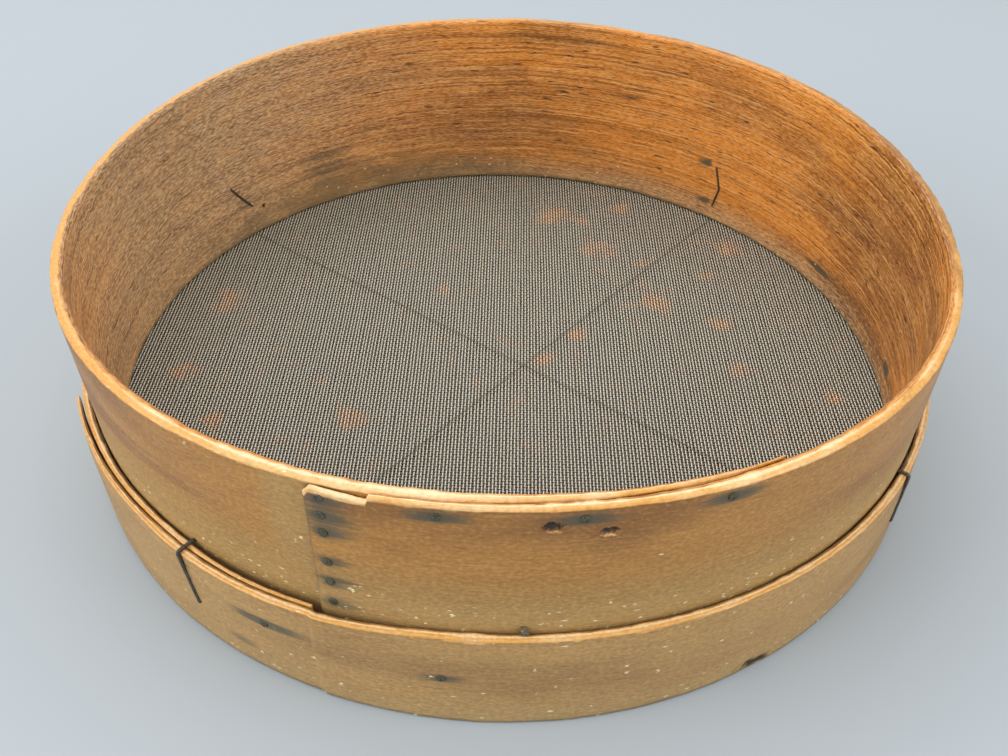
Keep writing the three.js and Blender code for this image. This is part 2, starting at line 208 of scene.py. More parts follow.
def spaced(values: np.ndarray, least: float) -> np.ndarray:
    """Puts values in order, without those that follow another too closely.

    Args:
        values: The values in any order.
        least: The least step from one to the next.

    Returns:
        The values that are kept.
    """
    ordered = np.sort(values)
    kept = [ordered[0]]
    for value in ordered[1:]:
        if value - kept[-1] > least:
            kept.append(value)
    return np.array(kept)


def mesh_object(
    name: str, points: np.ndarray, quads: np.ndarray, flat: np.ndarray | None = None
) -> bpy.types.Object:
    """Makes a smooth mesh object from points in millimetres.

    Args:
        name: The object's name.
        points: One row for each vertex.
        quads: One row of four vertex indices for each face.
        flat: Rows of quads that are shaded flat.

    Returns:
        The object, linked to the scene.
    """
    mesh = bpy.data.meshes.new(name)
    mesh.vertices.add(len(points))
    mesh.vertices.foreach_set("co", (points * MM).astype(np.float32).ravel())
    mesh.loops.add(quads.size)
    mesh.loops.foreach_set("vertex_index", quads.astype(np.int32).ravel())
    mesh.polygons.add(len(quads))
    mesh.polygons.foreach_set("loop_start", np.arange(0, quads.size, 4, dtype=np.int32))
    smooth_faces = np.ones(len(quads), dtype=bool)
    if flat is not None:
        smooth_faces[flat] = False
    mesh.polygons.foreach_set("use_smooth", smooth_faces)
    mesh.update(calc_edges=True)
    thing = bpy.data.objects.new(name, mesh)
    bpy.context.scene.collection.objects.link(thing)
    return thing


def ring_quads(rings: int, around: int) -> np.ndarray:
    """Joins each ring of points to the next, with faces out for rings that turn clockwise.

    Args:
        rings: How many rings there are.
        around: How many points each ring has.

    Returns:
        One row of four vertex indices for each face.
    """
    start = np.arange(rings - 1)[:, None] * around
    here = np.arange(around)[None, :]
    after = (here + 1) % around
    corners = [start + here, start + around + here, start + around + after, start + after]
    return np.stack(corners, axis=-1).reshape(-1, 4)


def ladder_quads(first: int, around: int, forward: bool) -> np.ndarray:
    """Closes one ring of points with faces laid as the rungs of a ladder.

    Args:
        first: The ring's first vertex.
        around: How many points the ring has, an even number.
        forward: Whether the ring starts the bar, or ends it.

    Returns:
        One row of four vertex indices for each face.
    """
    here = np.arange(around // 2 - 1)
    far = around - 1 - here
    corners = [here, here + 1, far - 1, far] if forward else [here, far, far - 1, here + 1]
    return first + np.stack(corners, axis=-1)


def bar_quads(rings: int, around: int) -> np.ndarray:
    """Faces of a bar that is swept through rings of points and closed at both ends, walls first."""
    ends = [ladder_quads(0, around, True), ladder_quads((rings - 1) * around, around, False)]
    return np.concatenate([ring_quads(rings, around), *ends])


def tube(path: np.ndarray, radii: np.ndarray, sides: int) -> tuple[np.ndarray, np.ndarray]:
    """A round bar along a path, closed at both ends.

    Args:
        path: Points in millimetres.
        radii: The bar's radius at each point.
        sides: An even number of sides.

    Returns:
        Its points and its faces.
    """
    steep = 0.9
    ways = np.gradient(path, axis=0)
    ways /= np.linalg.norm(ways, axis=1, keepdims=True)
    start = np.array([0.0, 0.0, 1.0]) if abs(ways[0][2]) < steep else np.array([1.0, 0.0, 0.0])
    side = start - ways[0] * start.dot(ways[0])
    turns = np.linspace(0, 2 * math.pi, sides, endpoint=False)
    rings = []
    for point, way, radius in zip(path, ways, radii):
        side = side - way * side.dot(way)
        side /= np.linalg.norm(side)
        other = np.cross(way, side)
        spokes = np.cos(turns)[:, None] * side - np.sin(turns)[:, None] * other
        rings.append(point + radius * spokes)
    return np.concatenate(rings), bar_quads(len(path), sides)


def bent_path(corners: Sequence[np.ndarray], bend: float, step: float) -> np.ndarray:
    """A wire's path through corner points, each corner rounded and the runs cut into short steps.

    Args:
        corners: The corner points in millimetres.
        bend: The setback of each bend.
        step: The longest step along the path.

    Returns:
        The path's points.
    """
    most_setback, bend_points = 0.48, 7
    path = [corners[0]]
    for before, corner, after in zip(corners, corners[1:], corners[2:]):
        back, ahead = before - corner, after - corner
        room = most_setback * min(np.linalg.norm(back), np.linalg.norm(ahead))
        setback = min(bend, room)
        start = corner + back / np.linalg.norm(back) * setback
        end = corner + ahead / np.linalg.norm(ahead) * setback
        for t in np.linspace(0, 1, bend_points):
            path.append((1 - t) ** 2 * start + 2 * t * (1 - t) * corner + t * t * end)
    path.append(corners[-1])
    fine = [path[0]]
    for a, b in zip(path, path[1:]):
        count = max(1, math.ceil(np.linalg.norm(b - a) / step))
        fine.extend(a + (b - a) * (i + 1) / count for i in range(count))
    return np.array(fine)


def polar(angle: np.ndarray | float, radius: np.ndarray | float, z: np.ndarray | float) -> np.ndarray:
    """Points from an angle in degrees, a radius and a height."""
    turn = np.radians(angle)
    return np.stack(np.broadcast_arrays(radius * np.cos(turn), radius * np.sin(turn), z), axis=-1)


def dress(
    thing: bpy.types.Object, material: bpy.types.Material, nodes: Sequence[str]
) -> bpy.types.Object:
    """Gives a finished piece its material and its place in the frame.

    Args:
        thing: The piece.
        material: Its finish.
        nodes: The frame's nodes that it stands for.

    Returns:
        The piece.
    """
    thing.data.materials.clear()
    thing.data.materials.append(material)
    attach(thing, BODY)
    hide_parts(*nodes)
    LOG.info("%s: %d faces", thing.name, len(thing.data.polygons))
    return thing


@dataclass(frozen=True)
class BentAsh:
    """Old ash board, steam-bent and oiled by hands: short dark pores and long streaks along the bend.

    The open pores read as dark dashes, raised fibres catch the light as pale flecks, worn edges are bright
    bare wood with a painted highlight along their crowns, and iron has bled black into the grain round each
    tack. Old flour dulls what it has lain on. Dents, the inner wall's foot and right side, and the outer
    end also carry painted shade.
    """

    name: str
    outer: str
    outer_dull: str
    inner: str
    inner_dull: str
    deep: str = "663508"
    pore: str = "3a1d12"
    glow: str = "f0b164"
    worn: str = "e0a24c"
    bleach_and_highlight: str = "f8dcae"
    stain: str = "444436"
    soil: str = "6b5b3e"
    dust: str = "eedfb2"
    film: str = "cfae76"
    fluff: str = "e6c79a"
    hole: str = "1d140b"
    grain_outside: float = 0.15
    grain_inside: float = 1.0
    grain_when_dull: float = 0.4
    grime: float = 0.3
    pattern_shift: float = 7.3
    speck_mm: float = 3.2
    speck_ragged: float = 1.2
    speck_edge: Pair = (0.72, 0.62)
    rough_bare: float = 0.44
    rough_dull: float = 0.65
    rough_worn: float = 0.3
    pore_rise: float = -0.7
    bump_strength: float = 0.5
    bump_mm: float = 0.3
    ior: float = 1.5

    # Each mask: the pattern that it is cut from, and the levels where it starts and is full.
    MASKS: ClassVar[dict[str, tuple[Grain, float, float]]] = {
        "clouds": (Grain.CLOUD, 0.46, 0.68),
        "mottles": (Grain.MOTTLE, 0.48, 0.7),
        "glows": (Grain.MOTTLE, 0.52, 0.36),
        "streaks": (Grain.STREAK, 0.48, 0.68),
        "fibres": (Grain.FIBRE, 0.5, 0.64),
        "glints": (Grain.FIBRE, 0.5, 0.38),
        "pores": (Grain.PORE, 0.62, 0.74),
        "dashes": (Grain.FLECK, 0.36, 0.6),
        "breaks": (Grain.FLECK, 0.62, 0.4),
        "sprigs": (Grain.SPRIG, 0.5, 0.62),
        "burrs": (Grain.SPRIG, 0.46, 0.36),
        "grime": (Grain.GRIME, 0.4, 0.75),
        "chalk": (Grain.GRIME, 0.5, 0.2),
    }
    # Each ragged mark: the pattern that tears its edge, how much, and where it starts and is full.
    RAGGED: ClassVar[dict[Mark, tuple[Grain, float, float, float]]] = {
        Mark.DULL: (Grain.CLOUD, 0.6, 0.0, 1.0),
        Mark.SOIL: (Grain.MOTTLE, 0.7, 0.2, 0.85),
        Mark.STAIN: (Grain.STREAK, 0.8, 0.22, 0.75),
        Mark.WEAR: (Grain.MOTTLE, 1.0, 0.3, 0.7),
        Mark.PALE: (Grain.MOTTLE, 1.0, 0.2, 0.8),
        Mark.DARK: (Grain.STREAK, 0.8, 0.2, 0.8),
    }

    def patterns(
        self, tree: bpy.types.NodeTree, place: bpy.types.NodeSocket
    ) -> dict[Grain, bpy.types.NodeSocket]:
        """Lays every grain pattern along the board.

        Args:
            tree: The node tree.
            place: Place on the board, along the grain and across it.

        Returns:
            The pattern of each grain.
        """
        noise = {}
        for number, grain in enumerate(Grain):
            length, width, detail = grain.value
            shift = (self.pattern_shift * number,) * 3
            sizes = {0: place, 1: (1 / (length * MM), 1 / (width * MM), 1), 2: shift}
            spread = add_node(tree, VECTOR, sizes, operation="MULTIPLY_ADD")
            noise[grain] = add_node(tree, NOISE, {"Vector": spread, "Scale": 1.0, "Detail": detail})
        return noise

    def bare_wood(
        self, tree: bpy.types.NodeTree, inside: bpy.types.NodeSocket, dull: bpy.types.NodeSocket
    ) -> bpy.types.NodeSocket:
        """Colours the wood under its grain and marks.

        Args:
            tree: The node tree.
            inside: 1 on the inner face and 0 on the outer one.
            dull: How dull the wood has grown.

        Returns:
            The colour.
        """
        shades = []
        for outer, inner in ((self.outer, self.inner), (self.outer_dull, self.inner_dull)):
            faces = {0: inside, 6: linear(outer), 7: linear(inner)}
            shades.append(add_node(tree, MIX, faces, COLOUR_OUT, **COLOURS))
        return add_node(tree, MIX, {0: dull, 6: shades[0], 7: shades[1]}, COLOUR_OUT, **COLOURS)

    def specks(
        self,
        tree: bpy.types.NodeTree,
        place: bpy.types.NodeSocket,
        fray: bpy.types.NodeSocket,
        dust: bpy.types.NodeSocket,
    ) -> tuple[bpy.types.NodeSocket, bpy.types.NodeSocket]:
        """Scatters crumbs of old flour, more of them where dust lies.

        Args:
            tree: The node tree.
            place: Place on the board.
            fray: The pattern that tears their edges.
            dust: How dusty the board is.

        Returns:
            The crumbs' shapes, and which of them are there.
        """
        cells = add_node(tree, CELLS, {"Vector": place, "Scale": 1 / (self.speck_mm * MM)}, "Distance")
        torn = add_node(tree, MATH, {0: fray, 1: self.speck_ragged, 2: cells}, operation="MULTIPLY_ADD")
        empty, full = self.speck_edge
        shape = add_node(tree, RANGE, {"Value": torn, "From Min": empty, "From Max": full}, **SMOOTHED)
        lot = {0: cells.node.outputs["Color"], 1: dust}
        return shape, add_node(tree, MATH, lot, operation="LESS_THAN")

    def material(self) -> bpy.types.Material:
        """Builds the finish.

        Returns:
            The material.
        """
        material = blank_material(self.name)
        tree = material.node_tree
        place = add_node(tree, "ShaderNodeUVMap", {}, uv_map=BOARD_UV)
        marks = {m: add_node(tree, "ShaderNodeAttribute", {}, "Fac", attribute_name=m.value) for m in Mark}
        noise = self.patterns(tree, place)
        masks = {}
        for name, (grain, low, high) in self.MASKS.items():
            levels = {"Value": noise[grain], "From Min": low, "From Max": high}
            masks[name] = add_node(tree, RANGE, levels, **SMOOTHED)
        ragged = {}
        for mark, (grain, amount, low, high) in self.RAGGED.items():
            edges = {0: noise[grain], 1: amount, 2: marks[mark]}
            torn = add_node(tree, MATH, edges, operation="MULTIPLY_ADD")
            levels = {"Value": torn, "From Min": low + amount / 2, "From Max": high + amount / 2}
            ragged[mark] = add_node(tree, RANGE, levels, **SMOOTHED)

        inside, dull, worn = marks[Mark.INSIDE], ragged[Mark.DULL], ragged[Mark.WEAR]
        colour = self.bare_wood(tree, inside, dull)
        depths = {"Value": inside, "To Min": self.grain_outside, "To Max": self.grain_inside}
        depth = add_node(tree, RANGE, depths)
        fresh = add_node(tree, RANGE, {"Value": dull, "To Min": 1.0, "To Max": self.grain_when_dull})
        handled = add_node(tree, RANGE, {"Value": inside, "To Min": self.grime, "To Max": 0.0})
        crumbs = self.specks(tree, place, noise[Grain.SPRIG], marks[Mark.DUST])
        # Each layer, from the wood up: the masks and strength that make its share, and its colour.
        layers = (
            ((masks["clouds"], fresh, 0.6), self.deep),
            # Darker tone, in part painted shade on the right of the tall hoop's inner wall.
            ((ragged[Mark.DARK], 0.65), self.deep),
            ((masks["mottles"], 0.1), self.deep),
            ((masks["glows"], depth, 0.2), self.glow),
            ((masks["streaks"], masks["breaks"], depth, fresh, 0.5), self.deep),
            ((masks["fibres"], masks["dashes"], depth, 0.7), self.deep),
            ((masks["glints"], masks["breaks"], depth, fresh, 0.7), self.glow),
            ((masks["sprigs"], depth, dull, 0.45), self.fluff),
            ((masks["sprigs"], depth, 0.16), self.fluff),
            ((masks["burrs"], depth, 0.4), self.deep),
            ((masks["pores"], depth, fresh, 0.9), self.pore),
            ((masks["grime"], handled), self.deep),
            ((masks["chalk"], handled, 0.8), self.glow),
            # Dirt, with painted shade along the inner wall's foot, on the tall hoop's outer end and along
            # the collar's bottom edge.
            ((ragged[Mark.SOIL], 0.85), self.soil),
            # Iron marks, with one thin line of painted shade under the rim.
            ((ragged[Mark.STAIN], 0.9), self.stain),
            ((marks[Mark.WEAR], 0.5), self.deep),
            ((worn, 0.95), self.worn),
            # Wear paled by use, with a painted highlight along the crowns of the top edges.
            ((ragged[Mark.PALE], worn, 0.9), self.bleach_and_highlight),
            ((masks["grime"], worn, 0.25), self.deep),
            ((masks["chalk"], worn, 0.15), self.bleach_and_highlight),
            ((marks[Mark.DUST], 0.24), self.film),
            ((*crumbs, 0.9), self.dust),
            # Dents painted nearly black with depth: painted shade.
            ((marks[Mark.HOLE], 0.92), self.hole),
        )
        for factors, shade in layers:
            cover = factors[0]
            for factor in factors[1:]:
                cover = add_node(tree, MATH, {0: cover, 1: factor}, operation="MULTIPLY")
            colour = add_node(tree, MIX, {0: cover, 6: colour, 7: linear(shade)}, COLOUR_OUT, **COLOURS)
        rough = add_node(tree, RANGE, {"Value": dull, "To Min": self.rough_bare, "To Max": self.rough_dull})
        rough = add_node(tree, RANGE, {"Value": worn, "To Min": rough, "To Max": self.rough_worn})
        heights = {0: masks["pores"], 1: self.pore_rise, 2: noise[Grain.SPRIG]}
        sunk = add_node(tree, MATH, heights, operation="MULTIPLY_ADD")
        relief = {"Height": sunk, "Strength": self.bump_strength, "Distance": self.bump_mm * MM}
        bump = add_node(tree, "ShaderNodeBump", relief)
        looks = {"Base Color": colour, "Roughness": rough, "Normal": bump, "IOR": self.ior}
        shader = add_node(tree, "ShaderNodeBsdfPrincipled", looks)
        add_node(tree, "ShaderNodeOutputMaterial", {"Surface": shader})
        return material


@dataclass(frozen=True)
class OldIron:
    """Drawn or cut iron, long in the kitchen: dull grey where it is rubbed and brown where rust has taken.

    The wire keeps a soft shine. Its high upward-facing crowns are painted pale, partly as rubbing wear and
    partly as a painted highlight, with painted shade on the sides below. The rust is matt and grainy.
    """

    name: str
    bare: str
    dark: str
    rust: str
    rust_share: float
    metallic: float
    roughness: float
    patch_mm: float = 7
    patch_detail: float = 4.0
    grain_mm: float = 0.5
    grain_detail: float = 2.0
    # Wire only: above this height, upward-facing crowns are painted pale as rubbing wear and painted
    # highlight, and the rest dark as painted shade.
    rubbed_and_lit_from: float | None = None
    rubbed_and_lit_over: float = 0.2
    upward: Pair = (0.3, 0.75)
    rub_mm: float = 1.2
    rub_strength: float = 0.42
    rust_dark: str = "845c38"
    rust_level: float = 0.78
    rust_gain: float = 0.4
    rust_edge: Pair = (-0.12, 0.3)
    rust_most: float = 0.85
    rust_rough: float = 0.85
    patch_lift: float = 0.4
    grain_edge: Pair = (0.3, 0.7)
    bump_strength: float = 0.3
    bump_mm: float = 0.2

    def rusted(
        self,
        tree: bpy.types.NodeTree,
        place: bpy.types.NodeSocket,
        broad: bpy.types.NodeSocket,
        patches: Sequence[tuple[float, float, float]],
    ) -> bpy.types.NodeSocket:
        """Finds where rust has taken.

        Args:
            tree: The node tree.
            place: Place on the piece.
            broad: The pattern that rust follows.
            patches: Rusty places as x, y and radius in millimetres.

        Returns:
            How rusty each point is.
        """
        for x, y, radius in patches:
            shifted = {0: place, 1: (1, 1, 0), 2: (-x * MM, -y * MM, 0)}
            flat = add_node(tree, VECTOR, shifted, operation="MULTIPLY_ADD")
            away = add_node(tree, VECTOR, {0: flat}, "Value", operation="LENGTH")
            levels = {"Value": away, "From Min": radius * MM, "From Max": 0.0, "To Max": self.patch_lift}
            lift = add_node(tree, RANGE, levels, **SMOOTHED)
            broad = add_node(tree, MATH, {0: broad, 1: lift}, operation="ADD")
        edge = self.rust_level - self.rust_gain * self.rust_share
        low, high = (edge + step for step in self.rust_edge)
        levels = {"Value": broad, "From Min": low, "From Max": high, "To Max": self.rust_most}
        return add_node(tree, RANGE, levels, **SMOOTHED)

    def lit(
        self, tree: bpy.types.NodeTree, place: bpy.types.NodeSocket, grain: bpy.types.NodeSocket
    ) -> bpy.types.NodeSocket:
        """Finds where the iron is bright: on wire, its high upward-facing crowns, painted pale as rubbing
        wear and painted highlight over sides painted dark as shade; or else in grains.

        Args:
            tree: The node tree.
            place: Place on the piece.
            grain: The pattern of fine grains.

        Returns:
            How bright each point is.
        """
        if self.rubbed_and_lit_from is None:
            low, high = self.grain_edge
            return add_node(tree, RANGE, {"Value": grain, "From Min": low, "From Max": high}, **SMOOTHED)
        # Facing up stands for being lit from above: this paints highlight and shade into the wire's colour.
        facing = add_node(tree, "ShaderNodeNewGeometry", {}, "Normal")
        upward = add_node(tree, "ShaderNodeSeparateXYZ", {0: facing}, 2)
        low, high = self.upward
        topside = add_node(tree, RANGE, {"Value": upward, "From Min": low, "From Max": high}, **SMOOTHED)
        height = add_node(tree, "ShaderNodeSeparateXYZ", {0: place}, 2)
        low, high = self.rubbed_and_lit_from * MM, (self.rubbed_and_lit_from + self.rubbed_and_lit_over) * MM
        crown = add_node(tree, RANGE, {"Value": height, "From Min": low, "From Max": high}, **SMOOTHED)
        return add_node(tree, MATH, {0: topside, 1: crown}, operation="MULTIPLY")

    def material(
        self,
        patches: Sequence[tuple[float, float, float]] = (),
        rubs: Sequence[tuple[np.ndarray, np.ndarray]] = (),
    ) -> bpy.types.Material:
        """Builds the finish.

        Args:
            patches: Rusty places as x, y and radius in millimetres.
            rubs: Lines where dirt is held from below, each as two points in millimetres.

        Returns:
            The material.
        """
        material = blank_material(self.name)
        tree = material.node_tree
        place = add_node(tree, "ShaderNodeTexCoord", {}, "Object")
        sizes = ((self.patch_mm, self.patch_detail), (self.grain_mm, self.grain_detail))
        broad, grain = [
            add_node(tree, NOISE, {"Vector": place, "Scale": 1 / (size * MM), "Detail": detail})
            for size, detail in sizes
        ]
        rusty = self.rusted(tree, place, broad, patches)
        tone = self.lit(tree, place, grain)
        shades = []
        # On wire these are shaded and lit copies of the iron and its rust: the dark pair is painted shade
        # on the sides, and the bare pair is a painted highlight on the crowns, with rubbing wear.
        for clean, rust in ((self.dark, self.rust_dark), (self.bare, self.rust)):
            pair = {0: rusty, 6: linear(clean), 7: linear(rust)}
            shades.append(add_node(tree, MIX, pair, COLOUR_OUT, **COLOURS))
        colour = add_node(tree, MIX, {0: tone, 6: shades[0], 7: shades[1]}, COLOUR_OUT, **COLOURS)
        for start, end in rubs:
            way = (end - start)[:2] / np.linalg.norm((end - start)[:2])
            apart = add_node(tree, VECTOR, {0: place, 1: tuple(start * MM)}, operation="SUBTRACT")
            across = {0: apart, 1: (-way[1], way[0], 0)}
            away = add_node(tree, VECTOR, across, "Value", operation="DOT_PRODUCT")
            away = add_node(tree, MATH, {0: away}, operation="ABSOLUTE")
            reach = {"From Min": self.rub_mm * MM, "From Max": 0.0, "To Max": self.rub_strength}
            line = add_node(tree, RANGE, {"Value": away, **reach}, **SMOOTHED)
            dirty = {0: line, 6: colour, 7: linear(self.dark)}
            colour = add_node(tree, MIX, dirty, COLOUR_OUT, **COLOURS)
        shine = add_node(tree, RANGE, {"Value": rusty, "To Min": self.metallic, "To Max": 0.0})
        rough = add_node(tree, RANGE, {"Value": rusty, "To Min": self.roughness, "To Max": self.rust_rough})
        relief = {"Height": grain, "Strength": self.bump_strength, "Distance": self.bump_mm * MM}
        bump = add_node(tree, "ShaderNodeBump", relief)
        looks = {"Base Color": colour, "Metallic": shine, "Roughness": rough, "Normal": bump}
        shader = add_node(tree, "ShaderNodeBsdfPrincipled", looks)
        add_node(tree, "ShaderNodeOutputMaterial", {"Surface": shader})
        return material


# Ash that hands have oiled: brown outside, and a warm orange inside where the grain shows most.
BODY_ASH = BentAsh(
    "oiled_bent_ash", outer="ad7a34", outer_dull="a68248", inner="de8a2a", inner_dull="ad8b64"
)
# The same ash, never oiled and full of dust: paler and flatter.
COLLAR_ASH = BentAsh(
    "dusty_bent_ash", outer="b48b4e", outer_dull="a98b5a", inner="a9763c", inner_dull="8e7453"
)
# Warp wire: pale crowns, partly where meal has rubbed it and partly a painted highlight, and brown sides
# that are partly painted shade.
WARP_IRON = OldIron(
    "rubbed_iron_wire",
    bare="d6d0be",
    dark="423822",
    rust="eecaa4",
    rust_share=0.3,
    metallic=0.1,
    roughness=0.45,
    patch_mm=9,
    rubbed_and_lit_from=6.55,
)
# Weft wire: the same, but pale only on the very top of each crown, from rubbing and a painted highlight.
# The rest is dirty and painted dark as shade, so it reads darker.
WEFT_IRON = replace(WARP_IRON, name="dirty_iron_wire", roughness=0.5, rubbed_and_lit_from=7.12)
# Thick wire under the cloth: brown all over, with hardly any shine.
SUPPORT_IRON = OldIron("rusty_iron_wire", "4a3a28", "2e241a", "6a4526", 0.5, 0.2, 0.7, patch_mm=12)
# Annealed tie wire: nearly black, with a low shine along its length.
TIE_IRON = OldIron("black_iron_wire", "6a655e", "3c3731", "7a4a2a", 0.3, 0.6, 0.5, patch_mm=5)
# A nail that rust has swollen: matt, lumpy and grey-brown.
STUB_IRON = OldIron("rust_swollen_iron", "8a7c66", "4a3f30", "7a5c3c", 0.5, 0.1, 0.8, patch_mm=2)
# Cut tacks: dark grey-green heads with a dull shine from the hammer.
TACK_IRON = OldIron("rusted_tack_iron", "5e5c4e", "3a392e", "4e3a26", 0.3, 0.3, 0.6, patch_mm=3)


@dataclass(frozen=True)
class Wave:
    """One lobe pattern of a hoop that is not quite round, in millimetres and degrees."""

    lobes: int
    height: float
    at: float

    def height_at(self, angle: np.ndarray) -> np.ndarray:
        """The wave's height at each angle."""
        return self.height * np.cos(self.lobes * np.radians(angle - self.at))


@dataclass(frozen=True)
class SievePlan:
    """Sizes that the pieces share, in millimetres and degrees anticlockwise from +X."""

    radius: float = 160
    body_board: float = 4.3
    collar_board: float = 2.7
    collar_height: float = 41.6
    foot_height: float = 7.5
    rim_height: float = 92.7
    cloth_middle: float = 6.85
    cloth_thickness: float = 0.7
    clearance: float = 0.3
    body_lap: Pair = (250.9, 299)
    body_outer_tip: float = 1.7
    body_inner_tip: float = 1.1
    collar_lap: Pair = (203, 250.1)
    collar_outer_tip: float = 1.3
    collar_inner_tip: float = 1.2
    collar_taper_share: float = 0.6
    collar_spring: float = 0.5
    collar_lean: float = 0.6
    hem_top: float = 30
    tip_spring_height: float = 1.6
    tip_spring_arc: tuple[float, float, float] = (224, 244, 264)
    ramp_arc: float = 0.6
    foot_waves: tuple[Wave, ...] = (Wave(2, 1.0, -20),)
    rim_waves: tuple[Wave, ...] = (Wave(3, 1.5, -33), Wave(4, 1.3, 40))

    @property
    def lap_step(self) -> float:
        """How far the body's outer end stands proud."""
        return self.clearance + self.body_outer_tip

    @property
    def hem_gap(self) -> float:
        """The room between body and collar, for the cloth's turned-up edge."""
        return self.cloth_thickness + 2 * self.clearance

    def body_face(self, angle: np.ndarray, z: np.ndarray) -> np.ndarray:
        """Finds the body's outer face where it is one board thick.

        Args:
            angle: Angle at each point.
            z: Height at each point.

        Returns:
            Its radius.
        """
        foot = sum(w.height_at(angle) for w in self.foot_waves)
        rim = sum(w.height_at(angle) for w in self.rim_waves)
        return self.radius + foot + (rim - foot) * (z / self.rim_height)

    def body_faces(self, turn: np.ndarray) -> tuple[np.ndarray, np.ndarray]:
        """Finds the faces of the body's board along its unrolled angle.

        Args:
            turn: Unrolled angle at each point.

        Returns:
            The inner and the outer face, measured from body_face.
        """
        over = share(turn, *self.body_lap)
        under = share(turn - FULL_TURN, *self.body_lap)
        board, gap = self.body_board, self.clearance
        inner = gap - over * (board + gap) - under * (gap + self.body_inner_tip)
        outer = self.lap_step * (1 - over) - under * (board + gap)
        return inner, outer

    def lap_rise(self, angle: np.ndarray) -> np.ndarray:
        """How far the body's lap lifts what is laid round it."""
        ramp = np.clip((angle - self.collar_lap[1]) / self.ramp_arc, 0, 1)
        return ramp * self.lap_step * (1 - share(angle, *self.body_lap))

    def tip_spring(self, angle: np.ndarray) -> np.ndarray:
        """Finds how far the collar's top edge has sprung off the body round the tip of its inner end.

        Args:
            angle: Angle at each point.

        Returns:
            The gap at each point.
        """
        low, full, gone = self.tip_spring_arc
        closing = 1 - smooth(angle, self.collar_lap[1], gone)
        return self.tip_spring_height * smooth(angle, low, full) * closing

    def collar_seat(self, angle: np.ndarray, z: np.ndarray) -> np.ndarray:
        """Finds the collar's inner face where it is one board thick.

        Args:
            angle: Angle at each point.
            z: Height at each point.

        Returns:
            Its radius.
        """
        sprung = self.tip_spring(angle) * (z / self.collar_height)
        leaning = self.collar_lean * smooth(z, self.hem_top, self.collar_height)
        return self.body_face(angle, z) + self.lap_rise(angle) + self.hem_gap + sprung - leaning

    def collar_faces(self, turn: np.ndarray) -> tuple[np.ndarray, np.ndarray]:
        """Finds the faces of the collar's board along its unrolled angle.

        Args:
            turn: Unrolled angle at each point.

        Returns:
            The inner and the outer face, measured from collar_seat.
        """
        over = share(turn, *self.collar_lap)
        ramp = np.clip((turn - self.collar_lap[1]) / self.ramp_arc, 0, 1)
        under = share(turn - FULL_TURN, *self.collar_lap)
        spring = self.collar_spring * np.clip(1 - 2 * over, 0, 1)
        board, tip = self.collar_board, self.collar_inner_tip
        inner = (board + (tip - board) * over + self.clearance + spring) * (1 - ramp)
        taper = np.clip(over / self.collar_taper_share, 0, 1)
        thick = self.collar_outer_tip + (board - self.collar_outer_tip) * taper
        return inner, inner + np.where(turn > FULL_TURN, board + (tip - board) * under, thick)

    def body_reach(self, angle: float, z: float) -> Pair:
        """Finds how far the body reaches at one place, over all its layers.

        Args:
            angle: The place's angle.
            z: Its height.

        Returns:
            The innermost and the outermost radius.
        """
        face = float(self.body_face(np.array(angle), np.array(z)))
        lapped = self.body_lap[0] <= angle <= self.body_lap[1]
        inner = self.body_faces(np.array(angle + float(FULL_TURN)))[0] if lapped else -self.body_board
        outer = self.body_faces(np.array(angle))[1] if lapped else 0.0
        return face + float(inner), face + float(outer)

    def collar_reach(self, angle: float, z: float) -> Pair:
        """Finds how far the collar reaches at one place.

        Args:
            angle: The place's angle.
            z: Its height.

        Returns:
            The innermost and the outermost radius.
        """
        turn = angle + FULL_TURN if angle < self.collar_lap[0] else angle
        seat = float(self.collar_seat(np.array(angle), np.array(z)))
        return seat, seat + float(self.collar_faces(np.array(float(turn)))[1])


@dataclass(frozen=True)
class Spot:
    """A place on a board: its face, angle and height, and how far it runs each way, in millimetres."""

    side: Side
    angle: float
    z: float
    back: float
    ahead: float
    height: float
    strength: float = 1.0
    ragged: float = 0.0

    FAR: ClassVar[float] = 99.0
    RAGGED_MM: ClassVar[float] = 3.1
    RAGGED_SLANT: ClassVar[float] = 1.7

    def away(self, turn: np.ndarray, z: np.ndarray, side: np.ndarray, radius: float) -> np.ndarray:
        """How far each point lies from the spot, as a share of the spot's reach.

        Args:
            turn: Unrolled angle in degrees at each point.
            z: Height at each point.
            side: 0 on the outer face to 1 on the inner face.
            radius: The hoop's radius.

        Returns:
            0 in the middle, 1 on the spot's edge, and a great distance on the other face.
        """
        run = np.radians(turned(turn, self.angle)) * radius
        apart = np.hypot(run / np.where(run < 0, self.back, self.ahead), (z - self.z) / self.height)
        fray = ripple(run + self.RAGGED_SLANT * z, self.RAGGED_MM, int(self.angle))
        return np.where(np.abs(side - self.side.value) < 0.5, apart + self.ragged * fray, self.FAR)


